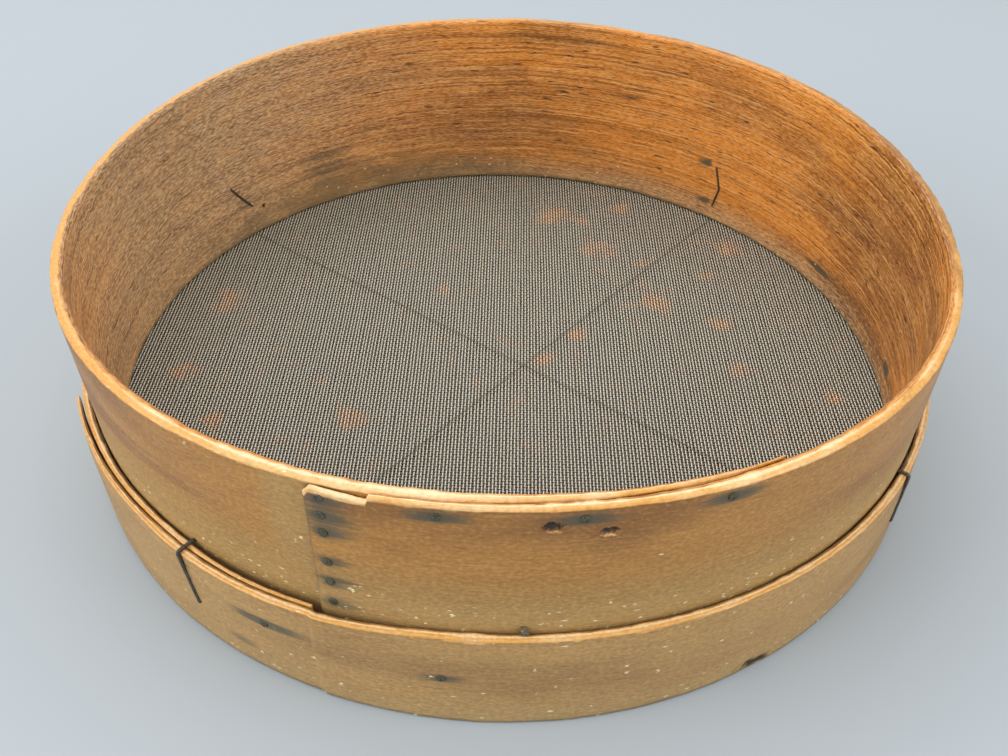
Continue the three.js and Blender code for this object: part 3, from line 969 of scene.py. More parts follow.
@dataclass
class BentBoard:
    """A board bent into a hoop with lapped ends, swept along its unrolled angle.

    Each uneven wave is given by its height, its length and what it adds to the board's seed.
    """

    plan: SievePlan
    name: str
    node: str
    slot: str
    finish: BentAsh
    bottom: float
    top: float
    edge: float
    start: float
    end: float
    seed: int
    stains_and_shade: Sequence[Spot]
    dents: Sequence[Spot] = ()
    scars: Sequence[Spot] = ()
    fine_turns: Sequence[Pair] = ()
    fine_heights: Sequence[Pair] = ()
    step: float = 0.7
    fine_step: float = 0.13
    least_step: float = 0.04
    end_steps: tuple[float, ...] = (0, 0.06, 0.14, 0.24, 0.36, 0.5)
    end_arc: float = 0.75
    level: float = 1.7
    fine_level: float = 0.6
    least_level: float = 0.3
    edge_steps: int = 5
    flat_steps: int = 3
    blunt_mm: float = 0.6
    blunt_least: float = 0.4
    worn_range: Pair = (0.4, 1.6)
    worn_most: float = 0.42
    dent_slope: Pair = (0.35, 1.0)
    hole_depths: Pair = (0.15, 0.6)
    wear_band: Pair = (0.2, 0.3)
    inner_wear: float = 0.4
    # Middle and width, as a share of the way across the top edge, of the painted highlight on its crown.
    edge_crown: Pair = (0.5, 0.26)
    top_waves: tuple[tuple[float, float, int], ...] = ((0.25, 160, 0), (0.1, 9, 3))
    nick_waves: tuple[tuple[float, float, int], ...] = ((0.3, 45, 1), (0.3, 11, 4))
    planing_wave: tuple[float, float, int] = (0.07, 37, 2)
    planing_slant: float = 0.6

    def faces(self, turn: np.ndarray) -> tuple[np.ndarray, np.ndarray]:
        """Inner and outer faces along the unrolled angle."""
        raise NotImplementedError

    def face(self, turn: np.ndarray, z: np.ndarray) -> np.ndarray:
        """Radius that the faces are measured from."""
        raise NotImplementedError

    def uneven(self, run: np.ndarray, waves: Sequence[tuple[float, float, int]]) -> np.ndarray:
        """Sum of uneven waves at places along the board, in millimetres."""
        return sum(height * ripple(run, length, self.seed + extra) for height, length, extra in waves)

    def tops(self, turn: np.ndarray) -> np.ndarray:
        """Height of the top edge."""
        return self.top + self.uneven(turn * RUN_MM, self.top_waves)

    def bottoms(self, turn: np.ndarray) -> np.ndarray:
        """Height of the bottom edge."""
        return np.full_like(turn, self.bottom)

    def turns(self) -> np.ndarray:
        """Spaces the sections, closer together near both ends and in the fine stretches.

        Returns:
            Their unrolled angles.
        """
        near = np.array(self.end_steps)
        middle = np.arange(self.start + self.end_arc, self.end - self.end_arc, self.step)
        fine = [np.arange(low, high, self.fine_step) for low, high in self.fine_turns]
        every = np.concatenate([self.start + near, middle, *fine, self.end - near[::-1]])
        return spaced(every, self.least_step)

    def rises(self) -> np.ndarray:
        """Spaces the rows of points up the wall, closer together at the fine heights.

        Returns:
            Their shares of the wall's height.
        """
        even = np.arange(self.bottom + self.level, self.top - self.level / 2, self.level)
        fine = [np.arange(low, high, self.fine_level) for low, high in self.fine_heights]
        heights = spaced(np.concatenate([even, *fine]), self.least_level)
        return (heights - self.bottom) / (self.top - self.bottom)

    def sections(self) -> tuple[np.ndarray, np.ndarray, np.ndarray, np.ndarray, np.ndarray]:
        """Lays out all the sections.

        Returns:
            For each section and each point round it: unrolled angle, offset from the face, height, way
            round the section, and side, from 0 on the outer face to 1 on the inner face.
        """
        turn = self.turns()[:, None]
        inner, outer = self.faces(turn)
        low, high = self.bottoms(turn), self.tops(turn)
        length = self.plan.radius * np.radians(np.minimum(turn - self.start, self.end - turn))
        rounding = 1 - (1 - np.clip(length / self.blunt_mm, 0, 1)) ** 2
        blunt = np.sqrt(np.clip(rounding, self.blunt_least, 1))
        middle, half = (inner + outer) / 2, (outer - inner) / 2 * blunt
        inner, outer = middle - half, middle + half
        wear = self.edge * np.clip(1 + self.uneven(turn * RUN_MM, self.nick_waves), *self.worn_range)
        worn = np.minimum(wear, self.worn_most * (outer - inner))
        arc = np.linspace(0, math.pi / 2, self.edge_steps + 1)
        rise = self.rises()
        inset = worn * np.concatenate([1 - np.sin(arc), np.zeros_like(rise), 1 - np.cos(arc)])
        lower = low + worn * (1 - np.cos(arc))
        wall = low + worn + (high - low - 2 * worn) * rise
        upper = high - worn * (1 - np.sin(arc))
        up = np.concatenate([lower, wall, upper], axis=1)
        outward, inward = outer - inset, inner + inset
        flat = np.linspace(0, 1, self.flat_steps + 2)[1:-1]
        over = outward[:, -1:] + (inward[:, -1:] - outward[:, -1:]) * flat
        under = inward[:, :1] + (outward[:, :1] - inward[:, :1]) * flat
        offset = np.concatenate([outward, over, inward[:, ::-1], under], axis=1)
        crown, sole = np.broadcast_to(high, over.shape), np.broadcast_to(low, under.shape)
        z = np.concatenate([up, crown, up[:, ::-1], sole], axis=1)
        count = outward.shape[1]
        side = np.concatenate([np.zeros(count), flat, np.ones(count), 1 - flat])
        gaps = np.hypot(np.diff(offset, axis=1), np.diff(z, axis=1))
        way = np.concatenate([np.zeros_like(turn), np.cumsum(gaps, axis=1)], axis=1)
        return np.broadcast_to(turn, z.shape), offset, z, way, np.broadcast_to(side, z.shape)

    def hollow(self, turn: np.ndarray, z: np.ndarray, side: np.ndarray) -> np.ndarray:
        """Sinks the dents into the face.

        Args:
            turn: Unrolled angle at each point.
            z: Height at each point.
            side: 0 on the outer face to 1 on the inner face.

        Returns:
            The depth at each point, in millimetres.
        """
        depth = np.zeros_like(z)
        for dent in self.dents:
            away = dent.away(turn, z, side, self.plan.radius)
            depth = np.maximum(depth, dent.strength * (1 - smooth(away, *self.dent_slope)))
        return depth

    def marks(self, turn: np.ndarray, z: np.ndarray, side: np.ndarray) -> dict[Mark, np.ndarray]:
        """What the finish reads at each point, from 0 to 1.

        Args:
            turn: Unrolled angle at each point.
            z: Height at each point.
            side: 0 on the outer face to 1 on the inner face.

        Returns:
            The values of each mark.
        """
        from_edge = np.minimum(self.top - z, z - self.bottom)
        full, past = self.wear_band
        worn = 1 - smooth(from_edge, full, self.edge + past)
        marks = {mark: np.zeros_like(z) for mark in Mark}
        marks[Mark.INSIDE] = np.where(side == Side.INNER.value, 1.0, 0.0)
        marks[Mark.WEAR] = worn * np.where(side == Side.INNER.value, self.inner_wear, 1.0)
        # Dents are painted darker with depth: painted shade in the hollows.
        marks[Mark.HOLE] = smooth(self.hollow(turn, z, side), *self.hole_depths)
        for mark, spots in ((Mark.STAIN, self.stains_and_shade), (Mark.WEAR, self.scars)):
            for spot in spots:
                away = spot.away(turn, z, side, self.plan.radius)
                marks[mark] = np.maximum(marks[mark], spot.strength * bell(away, 0, 1))
        return marks

    def build(self) -> bpy.types.Object:
        """Makes the board's mesh with its marks, and dresses it.

        Returns:
            The object.
        """
        turn, offset, z, way, side = self.sections()
        planed = self.uneven(turn * RUN_MM + self.planing_slant * z, [self.planing_wave])
        inward = self.hollow(turn, z, side) + planed
        on_face = side * (1 - side) == 0
        radius = self.face(turn, z) + offset - inward * np.where(side < 0.5, 1, -1) * on_face
        points = polar(turn, radius, z).reshape(-1, 3)
        rings, around = turn.shape
        quads = bar_quads(rings, around)
        walls = (rings - 1) * around
        board = mesh_object(self.name, points, quads, np.arange(walls, len(quads)))
        run = np.radians(turn) * self.plan.radius * MM
        spots = np.stack([run, way * MM], axis=-1).reshape(-1, 2)[quads]
        place_in_ring = quads % around
        wraps = np.ptp(place_in_ring, axis=1) == around - 1
        wraps[walls:] = False
        first = (place_in_ring == 0) & wraps[:, None]
        spots[..., 1] = np.where(first, np.max(way) * MM, spots[..., 1])
        layer = board.data.uv_layers.new(name=BOARD_UV)
        layer.data.foreach_set("uv", spots.astype(np.float32).ravel())
        for mark, values in self.marks(turn, z, side).items():
            laid = board.data.attributes.new(mark.value, "FLOAT", "POINT")
            laid.data.foreach_set("value", np.clip(values, 0, 1).astype(np.float32).ravel())
        return dress(board, self.finish.material(), [self.node])


@dataclass
class UpperHoop(BentBoard):
    """The tall hoop, whose blunt outer end shows at the front with a piece broken off its top corner.

    An arc is a middle and a width in degrees, and a band is two heights in millimetres.
    """

    corner_arc: float = 6.3
    corner_drop: float = 2.2
    corner_lip: float = 0.4
    corner_chamfer: float = 2.4
    chamfer_arc: float = 0.9
    corner_end: Pair = (0.1, 0.15)
    feather: float = 0.75
    feather_arc: float = 14
    # Places of wear and dirt, and of painted shade.
    front_arc: Pair = (272, 52)
    left_arc: Pair = (160, 50)
    grimy_arc: Pair = (118, 42)
    grimy_band: Pair = (4, 34)
    ruddy_arc: Pair = (220, 24)
    ruddy_band: Pair = (70, 11)
    shaded_arc: Pair = (4, 22)
    smoky_arc: Pair = (82, 14)
    smoky_band: Pair = (66, 86)
    foot_band: Pair = (1, 20)
    crevice_band: Pair = (0.5, 2.6)
    ledge_band: Pair = (4, 36)
    step_ahead: float = 2
    step_arc: Pair = (1.0, 5)
    tip_arc: float = 0.35
    raw_drop: float = 0.2
    raw_band: Pair = (-1.3, -0.6)
    # Strengths of wear and dirt, and of painted shade and highlight.
    rim_wear: float = 0.62
    left_wear: float = 0.25
    pale_least: float = 0.16
    pale_front: float = 0.85
    pale_off_crown: float = 0.4
    pale_raw: float = 0.5
    dull_foot: float = 0.75
    dull_step: float = 0.9
    soil_grimy: float = 0.7
    end_shade: float = 0.8
    dark_shaded: float = 0.85
    dark_smoky: float = 0.6
    dark_ruddy: float = 0.55
    dust_least: float = 0.1
    dust_ledge: float = 0.3
    ledge_fade: int = 3
    dust_corner: float = 0.5
    corner_fade: int = 16
    dust_foot: float = 0.25
    dust_grimy: float = 0.3

    def faces(self, turn: np.ndarray) -> tuple[np.ndarray, np.ndarray]:
        """Inner and outer faces along the unrolled angle, with the inner end worn to a feather."""
        inner, outer = self.plan.body_faces(turn)
        return inner + self.feather * smooth(turn, self.end - self.feather_arc, self.end), outer

    def face(self, turn: np.ndarray, z: np.ndarray) -> np.ndarray:
        """Radius of the single board's outer face."""
        return self.plan.body_face(turn, z)

    def broken(self, turn: np.ndarray) -> np.ndarray:
        """Finds how far the rim is broken down behind the outer end.

        Args:
            turn: Unrolled angle at each point.

        Returns:
            The drop at each point.
        """
        past = turn - self.start
        chamfer = self.corner_chamfer * (1 - smooth(past, 0, self.chamfer_arc))
        fall = self.corner_drop - self.corner_lip
        slope = self.corner_lip + fall * np.clip(past / self.corner_arc, 0, 1)
        before, after = self.corner_end
        lost = 1 - smooth(past, self.corner_arc - before, self.corner_arc + after)
        return np.maximum(chamfer, slope * lost)

    def tops(self, turn: np.ndarray) -> np.ndarray:
        """Height of the rim, lower where the outer end's corner is broken."""
        return super().tops(turn) - self.broken(turn)

    def marks(self, turn: np.ndarray, z: np.ndarray, side: np.ndarray) -> dict[Mark, np.ndarray]:
        """Marks of wear, staining and dirt on the tall hoop, with painted shade on the right of the inner
        wall, along the inner wall's foot and on the outer end, and a painted highlight along the rim's
        crown.

        Args:
            turn: Unrolled angle at each point.
            z: Height at each point.
            side: 0 on the outer face to 1 on the inner face.

        Returns:
            The values of each mark.
        """
        marks = super().marks(turn, z, side)
        angle, outside = turn % FULL_TURN, 1 - side
        up, over = z - self.plan.foot_height, z - self.plan.collar_height
        foot = 1 - smooth(up, *self.foot_band)
        # A thin dark band where the inner face meets the cloth: dirt and painted shade.
        crevice = 1 - smooth(up, *self.crevice_band)
        grimy = bell(angle, *self.grimy_arc) * (1 - smooth(up, *self.grimy_band))
        ledge = 1 - smooth(over, *self.ledge_band)
        near_step = 1 - smooth(np.abs(angle - self.start + self.step_ahead), *self.step_arc)
        step = near_step * (turn > FULL_TURN)
        front, left = bell(angle, *self.front_arc), bell(angle, *self.left_arc)
        crown = bell(side, *self.edge_crown)
        raw = (self.broken(turn) > self.raw_drop) * smooth(z - self.tops(turn), *self.raw_band)
        tip = bell(turn, self.start, self.tip_arc) * (1 - raw)
        ruddy = bell(angle, *self.ruddy_arc) * bell(z, *self.ruddy_band)
        # Darker on the right of the inner wall: painted shade.
        shaded = bell(turned(angle, self.shaded_arc[0]), 0, self.shaded_arc[1])
        smoky = bell(angle, *self.smoky_arc) * smooth(z, *self.smoky_band)

        leftward = -np.cos(np.radians(angle)) * (1 - front)
        handled = self.rim_wear + (1 - self.rim_wear) * front + self.left_wear * leftward
        marks[Mark.WEAR] = np.maximum(marks[Mark.WEAR] * (over > 0) * handled, raw)
        # Paler at the front from use, and paler along the middle of the rim's top as a painted highlight.
        bleach_and_highlight = self.pale_least + self.pale_front * front
        on_crown = self.pale_off_crown + (1 - self.pale_off_crown) * crown
        marks[Mark.PALE] = np.maximum(bleach_and_highlight * on_crown, self.pale_raw * raw)
        inner_dull = np.maximum(left, self.dull_foot * foot)
        marks[Mark.DULL] = side * inner_dull + outside * np.maximum(ledge, self.dull_step * step)
        # Dark along the inner wall's foot (dirt and painted shade), in grimy patches (dirt) and on the
        # outer end (painted shade).
        inner_dirt_and_shade = side * np.maximum(crevice, self.soil_grimy * grimy)
        marks[Mark.SOIL] = np.maximum(inner_dirt_and_shade, self.end_shade * tip)
        inner_dark = self.dark_shaded * shaded + self.dark_smoky * smoky
        marks[Mark.DARK] = side * inner_dark + outside * self.dark_ruddy * ruddy
        strewn = np.maximum(ledge**self.ledge_fade, step)
        outer_dust = self.dust_ledge * strewn + self.dust_corner * ledge**self.corner_fade
        inner_dust = self.dust_foot * foot + self.dust_grimy * grimy
        marks[Mark.DUST] = side * inner_dust + outside * (self.dust_least + outer_dust)
        return marks


@dataclass
class LowerHoop(BentBoard):
    """The collar, whose outer end has sprung away a little at the left."""

    low_band: Pair = (0, 16)
    bottom_dirt_and_shade_band: Pair = (0.4, 2)
    soil_inside: float = 0.6
    pale_least: float = 0.25
    crown_highlight: float = 0.65
    dull_least: float = 0.4
    dull_low: float = 0.5
    dust_least: float = 0.26
    dust_low: float = 0.26

    def faces(self, turn: np.ndarray) -> tuple[np.ndarray, np.ndarray]:
        """Inner and outer faces along the unrolled angle."""
        return self.plan.collar_faces(turn)

    def face(self, turn: np.ndarray, z: np.ndarray) -> np.ndarray:
        """Radius of the single board's inner face."""
        return self.plan.collar_seat(np.where(turn > FULL_TURN, turn - FULL_TURN, turn), z)

    def marks(self, turn: np.ndarray, z: np.ndarray, side: np.ndarray) -> dict[Mark, np.ndarray]:
        """Marks of wear, staining and dirt on the collar, with a painted highlight along the crown of its
        top edge and painted contact shade with dirt along its bottom edge.

        Args:
            turn: Unrolled angle at each point.
            z: Height at each point.
            side: 0 on the outer face to 1 on the inner face.

        Returns:
            The values of each mark.
        """
        marks = super().marks(turn, z, side)
        low = 1 - smooth(z, *self.low_band)
        marks[Mark.WEAR] = marks[Mark.WEAR] * (z > self.top / 2)
        # Paler along the middle of the top edge: a painted highlight, over a little paling everywhere.
        marks[Mark.PALE] = self.pale_least + self.crown_highlight * bell(side, *self.edge_crown)
        marks[Mark.DULL] = self.dull_least + self.dull_low * low
        # Dark along the bottom edge, dirt with painted contact shade, and dirt on the inner face.
        marks[Mark.SOIL] = np.maximum(1 - smooth(z, *self.bottom_dirt_and_shade_band), self.soil_inside * side)
        marks[Mark.DUST] = (1 - side) * (self.dust_least + self.dust_low * low)
        return marks


@dataclass
class WireCloth:
    """Plain-woven iron wire cloth: each wire goes over one and under the next.

    The wires are drawn thicker than real ones, so that their rows show in the render.
    """

    plan: SievePlan
    rubs: Sequence[tuple[np.ndarray, np.ndarray]]
    pitch: float = 1.36
    warp: float = 0.82
    weft: float = 0.68
    crimp: float = 0.3
    sides: int = 4
    edge_inset: float = 1.2
    least_steps: int = 2
    drift: float = 0.12
    drift_mm: float = 90
    drift_shift: float = 7.3
    warp_seed: int = 1000
    weft_seed: int = 1500
    rust: tuple[tuple[float, float, float], ...] = (
        (-125, 39, 16),
        (68, 46, 17),
        (107, 90, 12),
        (21, 117, 15),
        (45, 86, 14),
        (-62, -38, 13),
        (14, 2, 9),
        (30, 19, 9),
        (96, 30, 10),
        (66, 76, 9),
        (58, 126, 9),
        (94, 66, 8),
        (99, -2, 8),
        (-116, -40, 10),
        (-30, 50, 8),
        (136, -20, 8),
        (-135, -11, 11),
        (38, 112, 9),
    )

    def wires(self, along_x: bool, low: int, high: int) -> tuple[np.ndarray, np.ndarray]:
        """Lays the wires of one direction.

        Args:
            along_x: Whether they run along X, or along Y.
            low: The first wire's number, counted from the middle.
            high: One past the last wire's number.

        Returns:
            Points and faces.
        """
        points, quads, count = [], [], 0
        radius = (self.weft if along_x else self.warp) / 2
        seed = self.weft_seed if along_x else self.warp_seed
        turns = np.linspace(0, 2 * math.pi, self.sides, endpoint=False)[:, None]
        side = np.array([0.0, 1.0, 0.0]) if along_x else np.array([-1.0, 0.0, 0.0])
        spokes = np.cos(turns) * side + np.sin(turns) * np.array([0.0, 0.0, 1.0])
        reach = self.plan.radius - self.edge_inset
        for number in range(low, high):
            across = number * self.pitch
            half = math.sqrt(max(0.0, reach**2 - across**2))
            steps = int(half / self.pitch)
            if steps < self.least_steps:
                continue
            index = np.arange(-steps, steps + 1)
            along = index * self.pitch
            over = np.where((index + number + along_x) % 2 == 0, self.crimp, -self.crimp)
            place = along + self.drift_shift * number
            across = across + self.drift * ripple(place, self.drift_mm, seed + number)
            middle = [along, across] if along_x else [across, along]
            spine = np.stack([*middle, self.plan.cloth_middle + over], axis=-1)
            ring = spine[:, None, :] + radius * spokes[None, ::-1, :]
            points.append(ring.reshape(-1, 3))
            quads.append(bar_quads(len(spine), self.sides) + count)
            count += len(spine) * self.sides
        return np.concatenate(points), np.concatenate(quads)

    def build(self) -> None:
        """Makes the cloth in four pieces and dresses them."""
        finishes = {True: WEFT_IRON, False: WARP_IRON}
        finishes = {along_x: iron.material(self.rust, self.rubs) for along_x, iron in finishes.items()}
        most = int(self.plan.radius / self.pitch)
        halves = ((True, -most, 0, "front"), (True, 0, most + 1, "back"))
        halves += ((False, -most, 0, "left"), (False, 0, most + 1, "right"))
        for along_x, low, high, name in halves:
            points, quads = self.wires(along_x, low, high)
            piece = mesh_object(f"cloth_wires_{name}", points, quads)
            layer = piece.data.uv_layers.new(name="OFBake")
            flat = points[quads.ravel()][:, :2]
            laid = (flat - flat.min(axis=0)) / np.ptp(flat, axis=0).max()
            layer.data.foreach_set("uv", laid.astype(np.float32).ravel())
            dress(piece, finishes[along_x], ["wire_cloth"])


@dataclass(frozen=True)
class Tie:
    """One wire staple: the angles of its legs, the heights of its crown inside, and its thickness."""

    name: str
    top: float
    low: float
    point: float
    crown_top: float
    crown_low: float
    kink: float
    radius: float


@dataclass
class WireWork:
    """The two support wires under the cloth, and the four ties that hold the collar.

    A wire's unevenness is given by its share of the radius, its length and the length of a step.
    """

    plan: SievePlan
    support_radius: float = 0.65
    support_heights: Pair = (5.55, 3.95)
    support_points: int = 161
    support_wave: tuple[float, float, float] = (0.04, 23, 2.0)
    tie_wave: tuple[float, float, float] = (0.07, 9, 1.0)
    bend: float = 1.1
    path_step: float = 1.0
    point_rise: float = 19
    point_depth: float = 1
    proud: float = 0.3
    seat: float = 0.8
    sides: int = 12
    ties: tuple[Tie, ...] = (
        Tie("back_right", 48.8, 48.4, 48.8, 36.5, 15.5, -1.1, 0.5),
        Tie("back_left", 147.5, 143.3, 147.5, 38.3, 23.4, 0.1, 0.55),
        Tie("front_left", 233.6, 233.6, 234.7, 37.5, 23.4, 0.2, 0.62),
        Tie("front_right", 324.9, 324.9, 324.9, 37.5, 23.4, -0.2, 0.62),
    )
    crossings: tuple[tuple[str, str], ...] = (("back_left", "front_right"), ("back_right", "front_left"))

    def corners(self, tie: Tie) -> list[np.ndarray]:
        """Finds a tie's corner points, from its driven point outside to its short leg in the collar.

        Args:
            tie: Which one.

        Returns:
            The points in order.
        """
        plan = self.plan
        over = plan.collar_height + tie.radius
        middle = (tie.crown_top + tie.crown_low) / 2
        leaning = (tie.top + tie.low) / 2 + tie.kink
        crown = [(tie.top, tie.crown_top), (leaning, middle), (tie.low, tie.crown_low)]
        proud = self.proud * tie.radius
        inside = [polar(a, plan.body_reach(a, z)[0] - proud, z) for a, z in crown]
        point_face = plan.collar_reach(tie.point, self.point_rise)[1]
        between = (plan.body_reach(tie.top, over)[1] + plan.collar_reach(tie.top, over)[0]) / 2
        return [
            polar(tie.point, point_face - self.point_depth, self.point_rise),
            polar(tie.point, point_face + proud, self.point_rise),
            polar(tie.top, plan.collar_reach(tie.top, over)[1] + tie.radius, over),
            polar(tie.top, between, over),
            *inside,
            polar(tie.low, plan.collar_reach(tie.low, tie.crown_low)[0] + self.seat, tie.crown_low),
        ]

    def support_lines(self) -> list[tuple[np.ndarray, np.ndarray]]:
        """Runs the support wires from tie to tie, with their ends seated in the collar.

        Returns:
            Both ends of each wire.
        """
        lows = {tie.name: tie.low for tie in self.ties}
        lines = []
        for names, z in zip(self.crossings, self.support_heights):
            angles = [lows[name] for name in names]
            first, last = [polar(a, self.plan.collar_reach(a, z)[0] + self.seat, z) for a in angles]
            lines.append((first, last))
        return lines

    def wire(
        self, path: np.ndarray, radius: float, wave: tuple[float, float, float], seed: int
    ) -> tuple[np.ndarray, np.ndarray]:
        """A wire along a path, not drawn quite even.

        Args:
            path: Points in millimetres.
            radius: The wire's usual radius.
            wave: Its unevenness.
            seed: Chooses the waves.

        Returns:
            Points and faces.
        """
        height, length, step = wave
        radii = radius * (1 + height * ripple(np.arange(len(path)) * step, length, seed))
        return tube(path, radii, self.sides)

    def build(self) -> None:
        """Makes and dresses the wires."""
        finish = TIE_IRON.material()
        for tie in self.ties:
            path = bent_path(self.corners(tie), self.bend, self.path_step)
            wire = self.wire(path, tie.radius, self.tie_wave, len(tie.name))
            dress(mesh_object(f"tie_{tie.name}", *wire), finish, [f"tie_wire_{tie.name}"])
        finish = SUPPORT_IRON.material()
        shares = np.linspace(0, 1, self.support_points)[:, None]
        for number, (first, last) in enumerate(self.support_lines(), start=1):
            path = first + (last - first) * shares
            wire = self.wire(path, self.support_radius, self.support_wave, number)
            piece = mesh_object(f"support_wire_run_{number}", *wire)
            dress(piece, finish, [f"support_wire_{number}"])


@dataclass(frozen=True)
class Tack:
    """One tack or nail: the node that it stands for, and its place."""

    node: str
    angle: float
    z: float
    through_collar: bool = False


@dataclass
class TackWork:
    """Tacks of the lap and rim, nails of the collar, and the stub of the stop nail."""

    plan: SievePlan
    head: float = 1.45
    head_rises: tuple[float, ...] = (0.3, 0.28, 0.36, 0.24, 0.0, -0.2)
    head_widths: tuple[float, ...] = (0.25, 0.55, 0.8, 1.0, 1.03, 0.4)
    hammer_marks: float = 0.03
    first_seed: int = 40
    shank: float = 0.6
    shank_start: float = 0.3
    shank_bend: float = 1.2
    path_step: float = 1.0
    point: float = 0.25
    point_steps: int = 3
    clinch: float = 4
    clinch_drop: float = 0.6
    sides: int = 16
    lap_inset: float = 4.4
    lap_shares: tuple[float, ...] = (0.07, 0.25, 0.42, 0.66, 0.8, 0.93)
    rim_angles: tuple[float, ...] = (263.7, 277.7, 292.2)
    rim_drop: float = 4
    stop_angle: float = 272.4
    stop_reach: float = 2.2
    stop_foot: float = 0.1
    stop_neck: float = 0.4
    stop_lift: float = 0.5
    stop_lump: tuple[float, ...] = (0.5, 1.0, 1.3, 1.4, 1.2, 0.9)
    stop_rough: float = 0.22
    stop_steps: int = 6
    stop_seed: int = 91
    collar_nails: tuple[Pair, ...] = ((244.5, 28.5), (264, 22.5))

    def lap_tacks(self) -> list[Tack]:
        """Places the row of tacks down the lap's blunt end.

        Returns:
            The tacks, from the lowest.
        """
        plan = self.plan
        angle = plan.body_lap[0] + math.degrees(self.lap_inset / plan.radius)
        free = plan.rim_height - plan.collar_height
        heights = [plan.collar_height + part * free for part in self.lap_shares]
        return [Tack(f"lap_tack_{i}", angle, z) for i, z in enumerate(heights, 1)]

    def rim_tacks(self) -> list[Tack]:
        """The tacks along the lap, just under the rim."""
        z = self.plan.rim_height - self.rim_drop
        return [Tack(f"rim_tack_{i}", angle, z) for i, angle in enumerate(self.rim_angles, 1)]

    def nails(self) -> list[Tack]:
        """The nails through the collar."""
        places = enumerate(self.collar_nails, 1)
        return [Tack(f"collar_nail_{i}", angle, z, True) for i, (angle, z) in places]

    def body_stains_and_shade(self) -> list[Spot]:
        """Places where the tacks have bled into the tall hoop, and a thin line of painted shade just under
        the rim at the front.

        Returns:
            The tack marks, and the painted shade.
        """
        lap = [Spot(Side.OUTER, tack.angle, tack.z, 5, 10, 3.4, 0.85) for tack in self.lap_tacks()]
        rim = [Spot(Side.OUTER, tack.angle, tack.z, 12, 13, 3.2, 0.85) for tack in self.rim_tacks()]
        smoke = Spot(Side.OUTER, self.plan.body_lap[0] + 1.5, self.plan.rim_height - 9, 6, 13, 10, 0.62)
        # A thin dark line just under the rim at the front: painted shade, laid as an iron mark.
        shade = Spot(Side.OUTER, self.rim_angles[1], self.plan.rim_height - 2.6, 42, 34, 1.6, 0.5)
        return [*lap, *rim, smoke, shade]

    def tack(self, tack: Tack, seed: int) -> tuple[np.ndarray, np.ndarray]:
        """A hammered head, a shank through the boards and a clinched point inside.

        Args:
            tack: Which one.
            seed: Chooses its hammer marks.

        Returns:
            Points and faces.
        """
        inner, outer = self.plan.body_reach(tack.angle, tack.z)
        outer = self.plan.collar_reach(tack.angle, tack.z)[1] if tack.through_collar else outer
        low = inner - self.plan.clearance - self.shank
        turn = math.degrees(self.clinch / low)
        corners = [
            polar(tack.angle, outer - self.shank_start, tack.z),
            polar(tack.angle, low, tack.z),
            polar(tack.angle + turn, low, tack.z - self.clinch_drop),
        ]
        run = bent_path(corners, self.shank_bend, self.path_step)
        head = np.array([polar(tack.angle, outer + rise, tack.z) for rise in self.head_rises])
        widths = self.head * np.array(self.head_widths)
        radii = np.full(len(run), self.shank)
        radii[-self.point_steps :] = np.linspace(self.shank, self.point, self.point_steps)
        points, quads = tube(np.concatenate([head, run]), np.concatenate([widths, radii]), self.sides)
        count = len(head) * self.sides
        points[:count] += np.random.default_rng(seed).normal(0, self.hammer_marks, (count, 3))
        return points, quads

    def stop_nail(self) -> tuple[np.ndarray, np.ndarray]:
        """The stub of a headless nail, swollen with rust where it leaves the wall.

        Returns:
            Points and faces.
        """
        z = self.plan.collar_height + self.plan.clearance + self.shank
        inner, outer = self.plan.body_reach(self.stop_angle, z)
        out = outer + np.linspace(self.stop_reach, self.stop_foot, len(self.stop_lump))
        through = np.linspace(outer - self.stop_neck, inner - self.plan.clearance, self.stop_steps)
        path = np.array([polar(self.stop_angle, r, z + self.stop_lift) for r in (*out, *through)])
        radii = np.array([*self.stop_lump, *[self.shank] * len(through)])
        points, quads = tube(path, radii, self.sides)
        count = len(out) * self.sides
        random = np.random.default_rng(self.stop_seed)
        points[:count] += random.normal(0, self.stop_rough, (count, 3))
        return points, quads

    def build(self) -> None:
        """Makes and dresses every tack and nail."""
        finish = TACK_IRON.material()
        every = [*self.lap_tacks(), *self.rim_tacks(), *self.nails()]
        for seed, tack in enumerate(every, start=self.first_seed):
            piece = mesh_object(f"iron_{tack.node}", *self.tack(tack, seed))
            dress(piece, finish, [tack.node])
        piece = mesh_object("iron_stop_nail", *self.stop_nail())
        dress(piece, STUB_IRON.material(), ["stop_nail"])


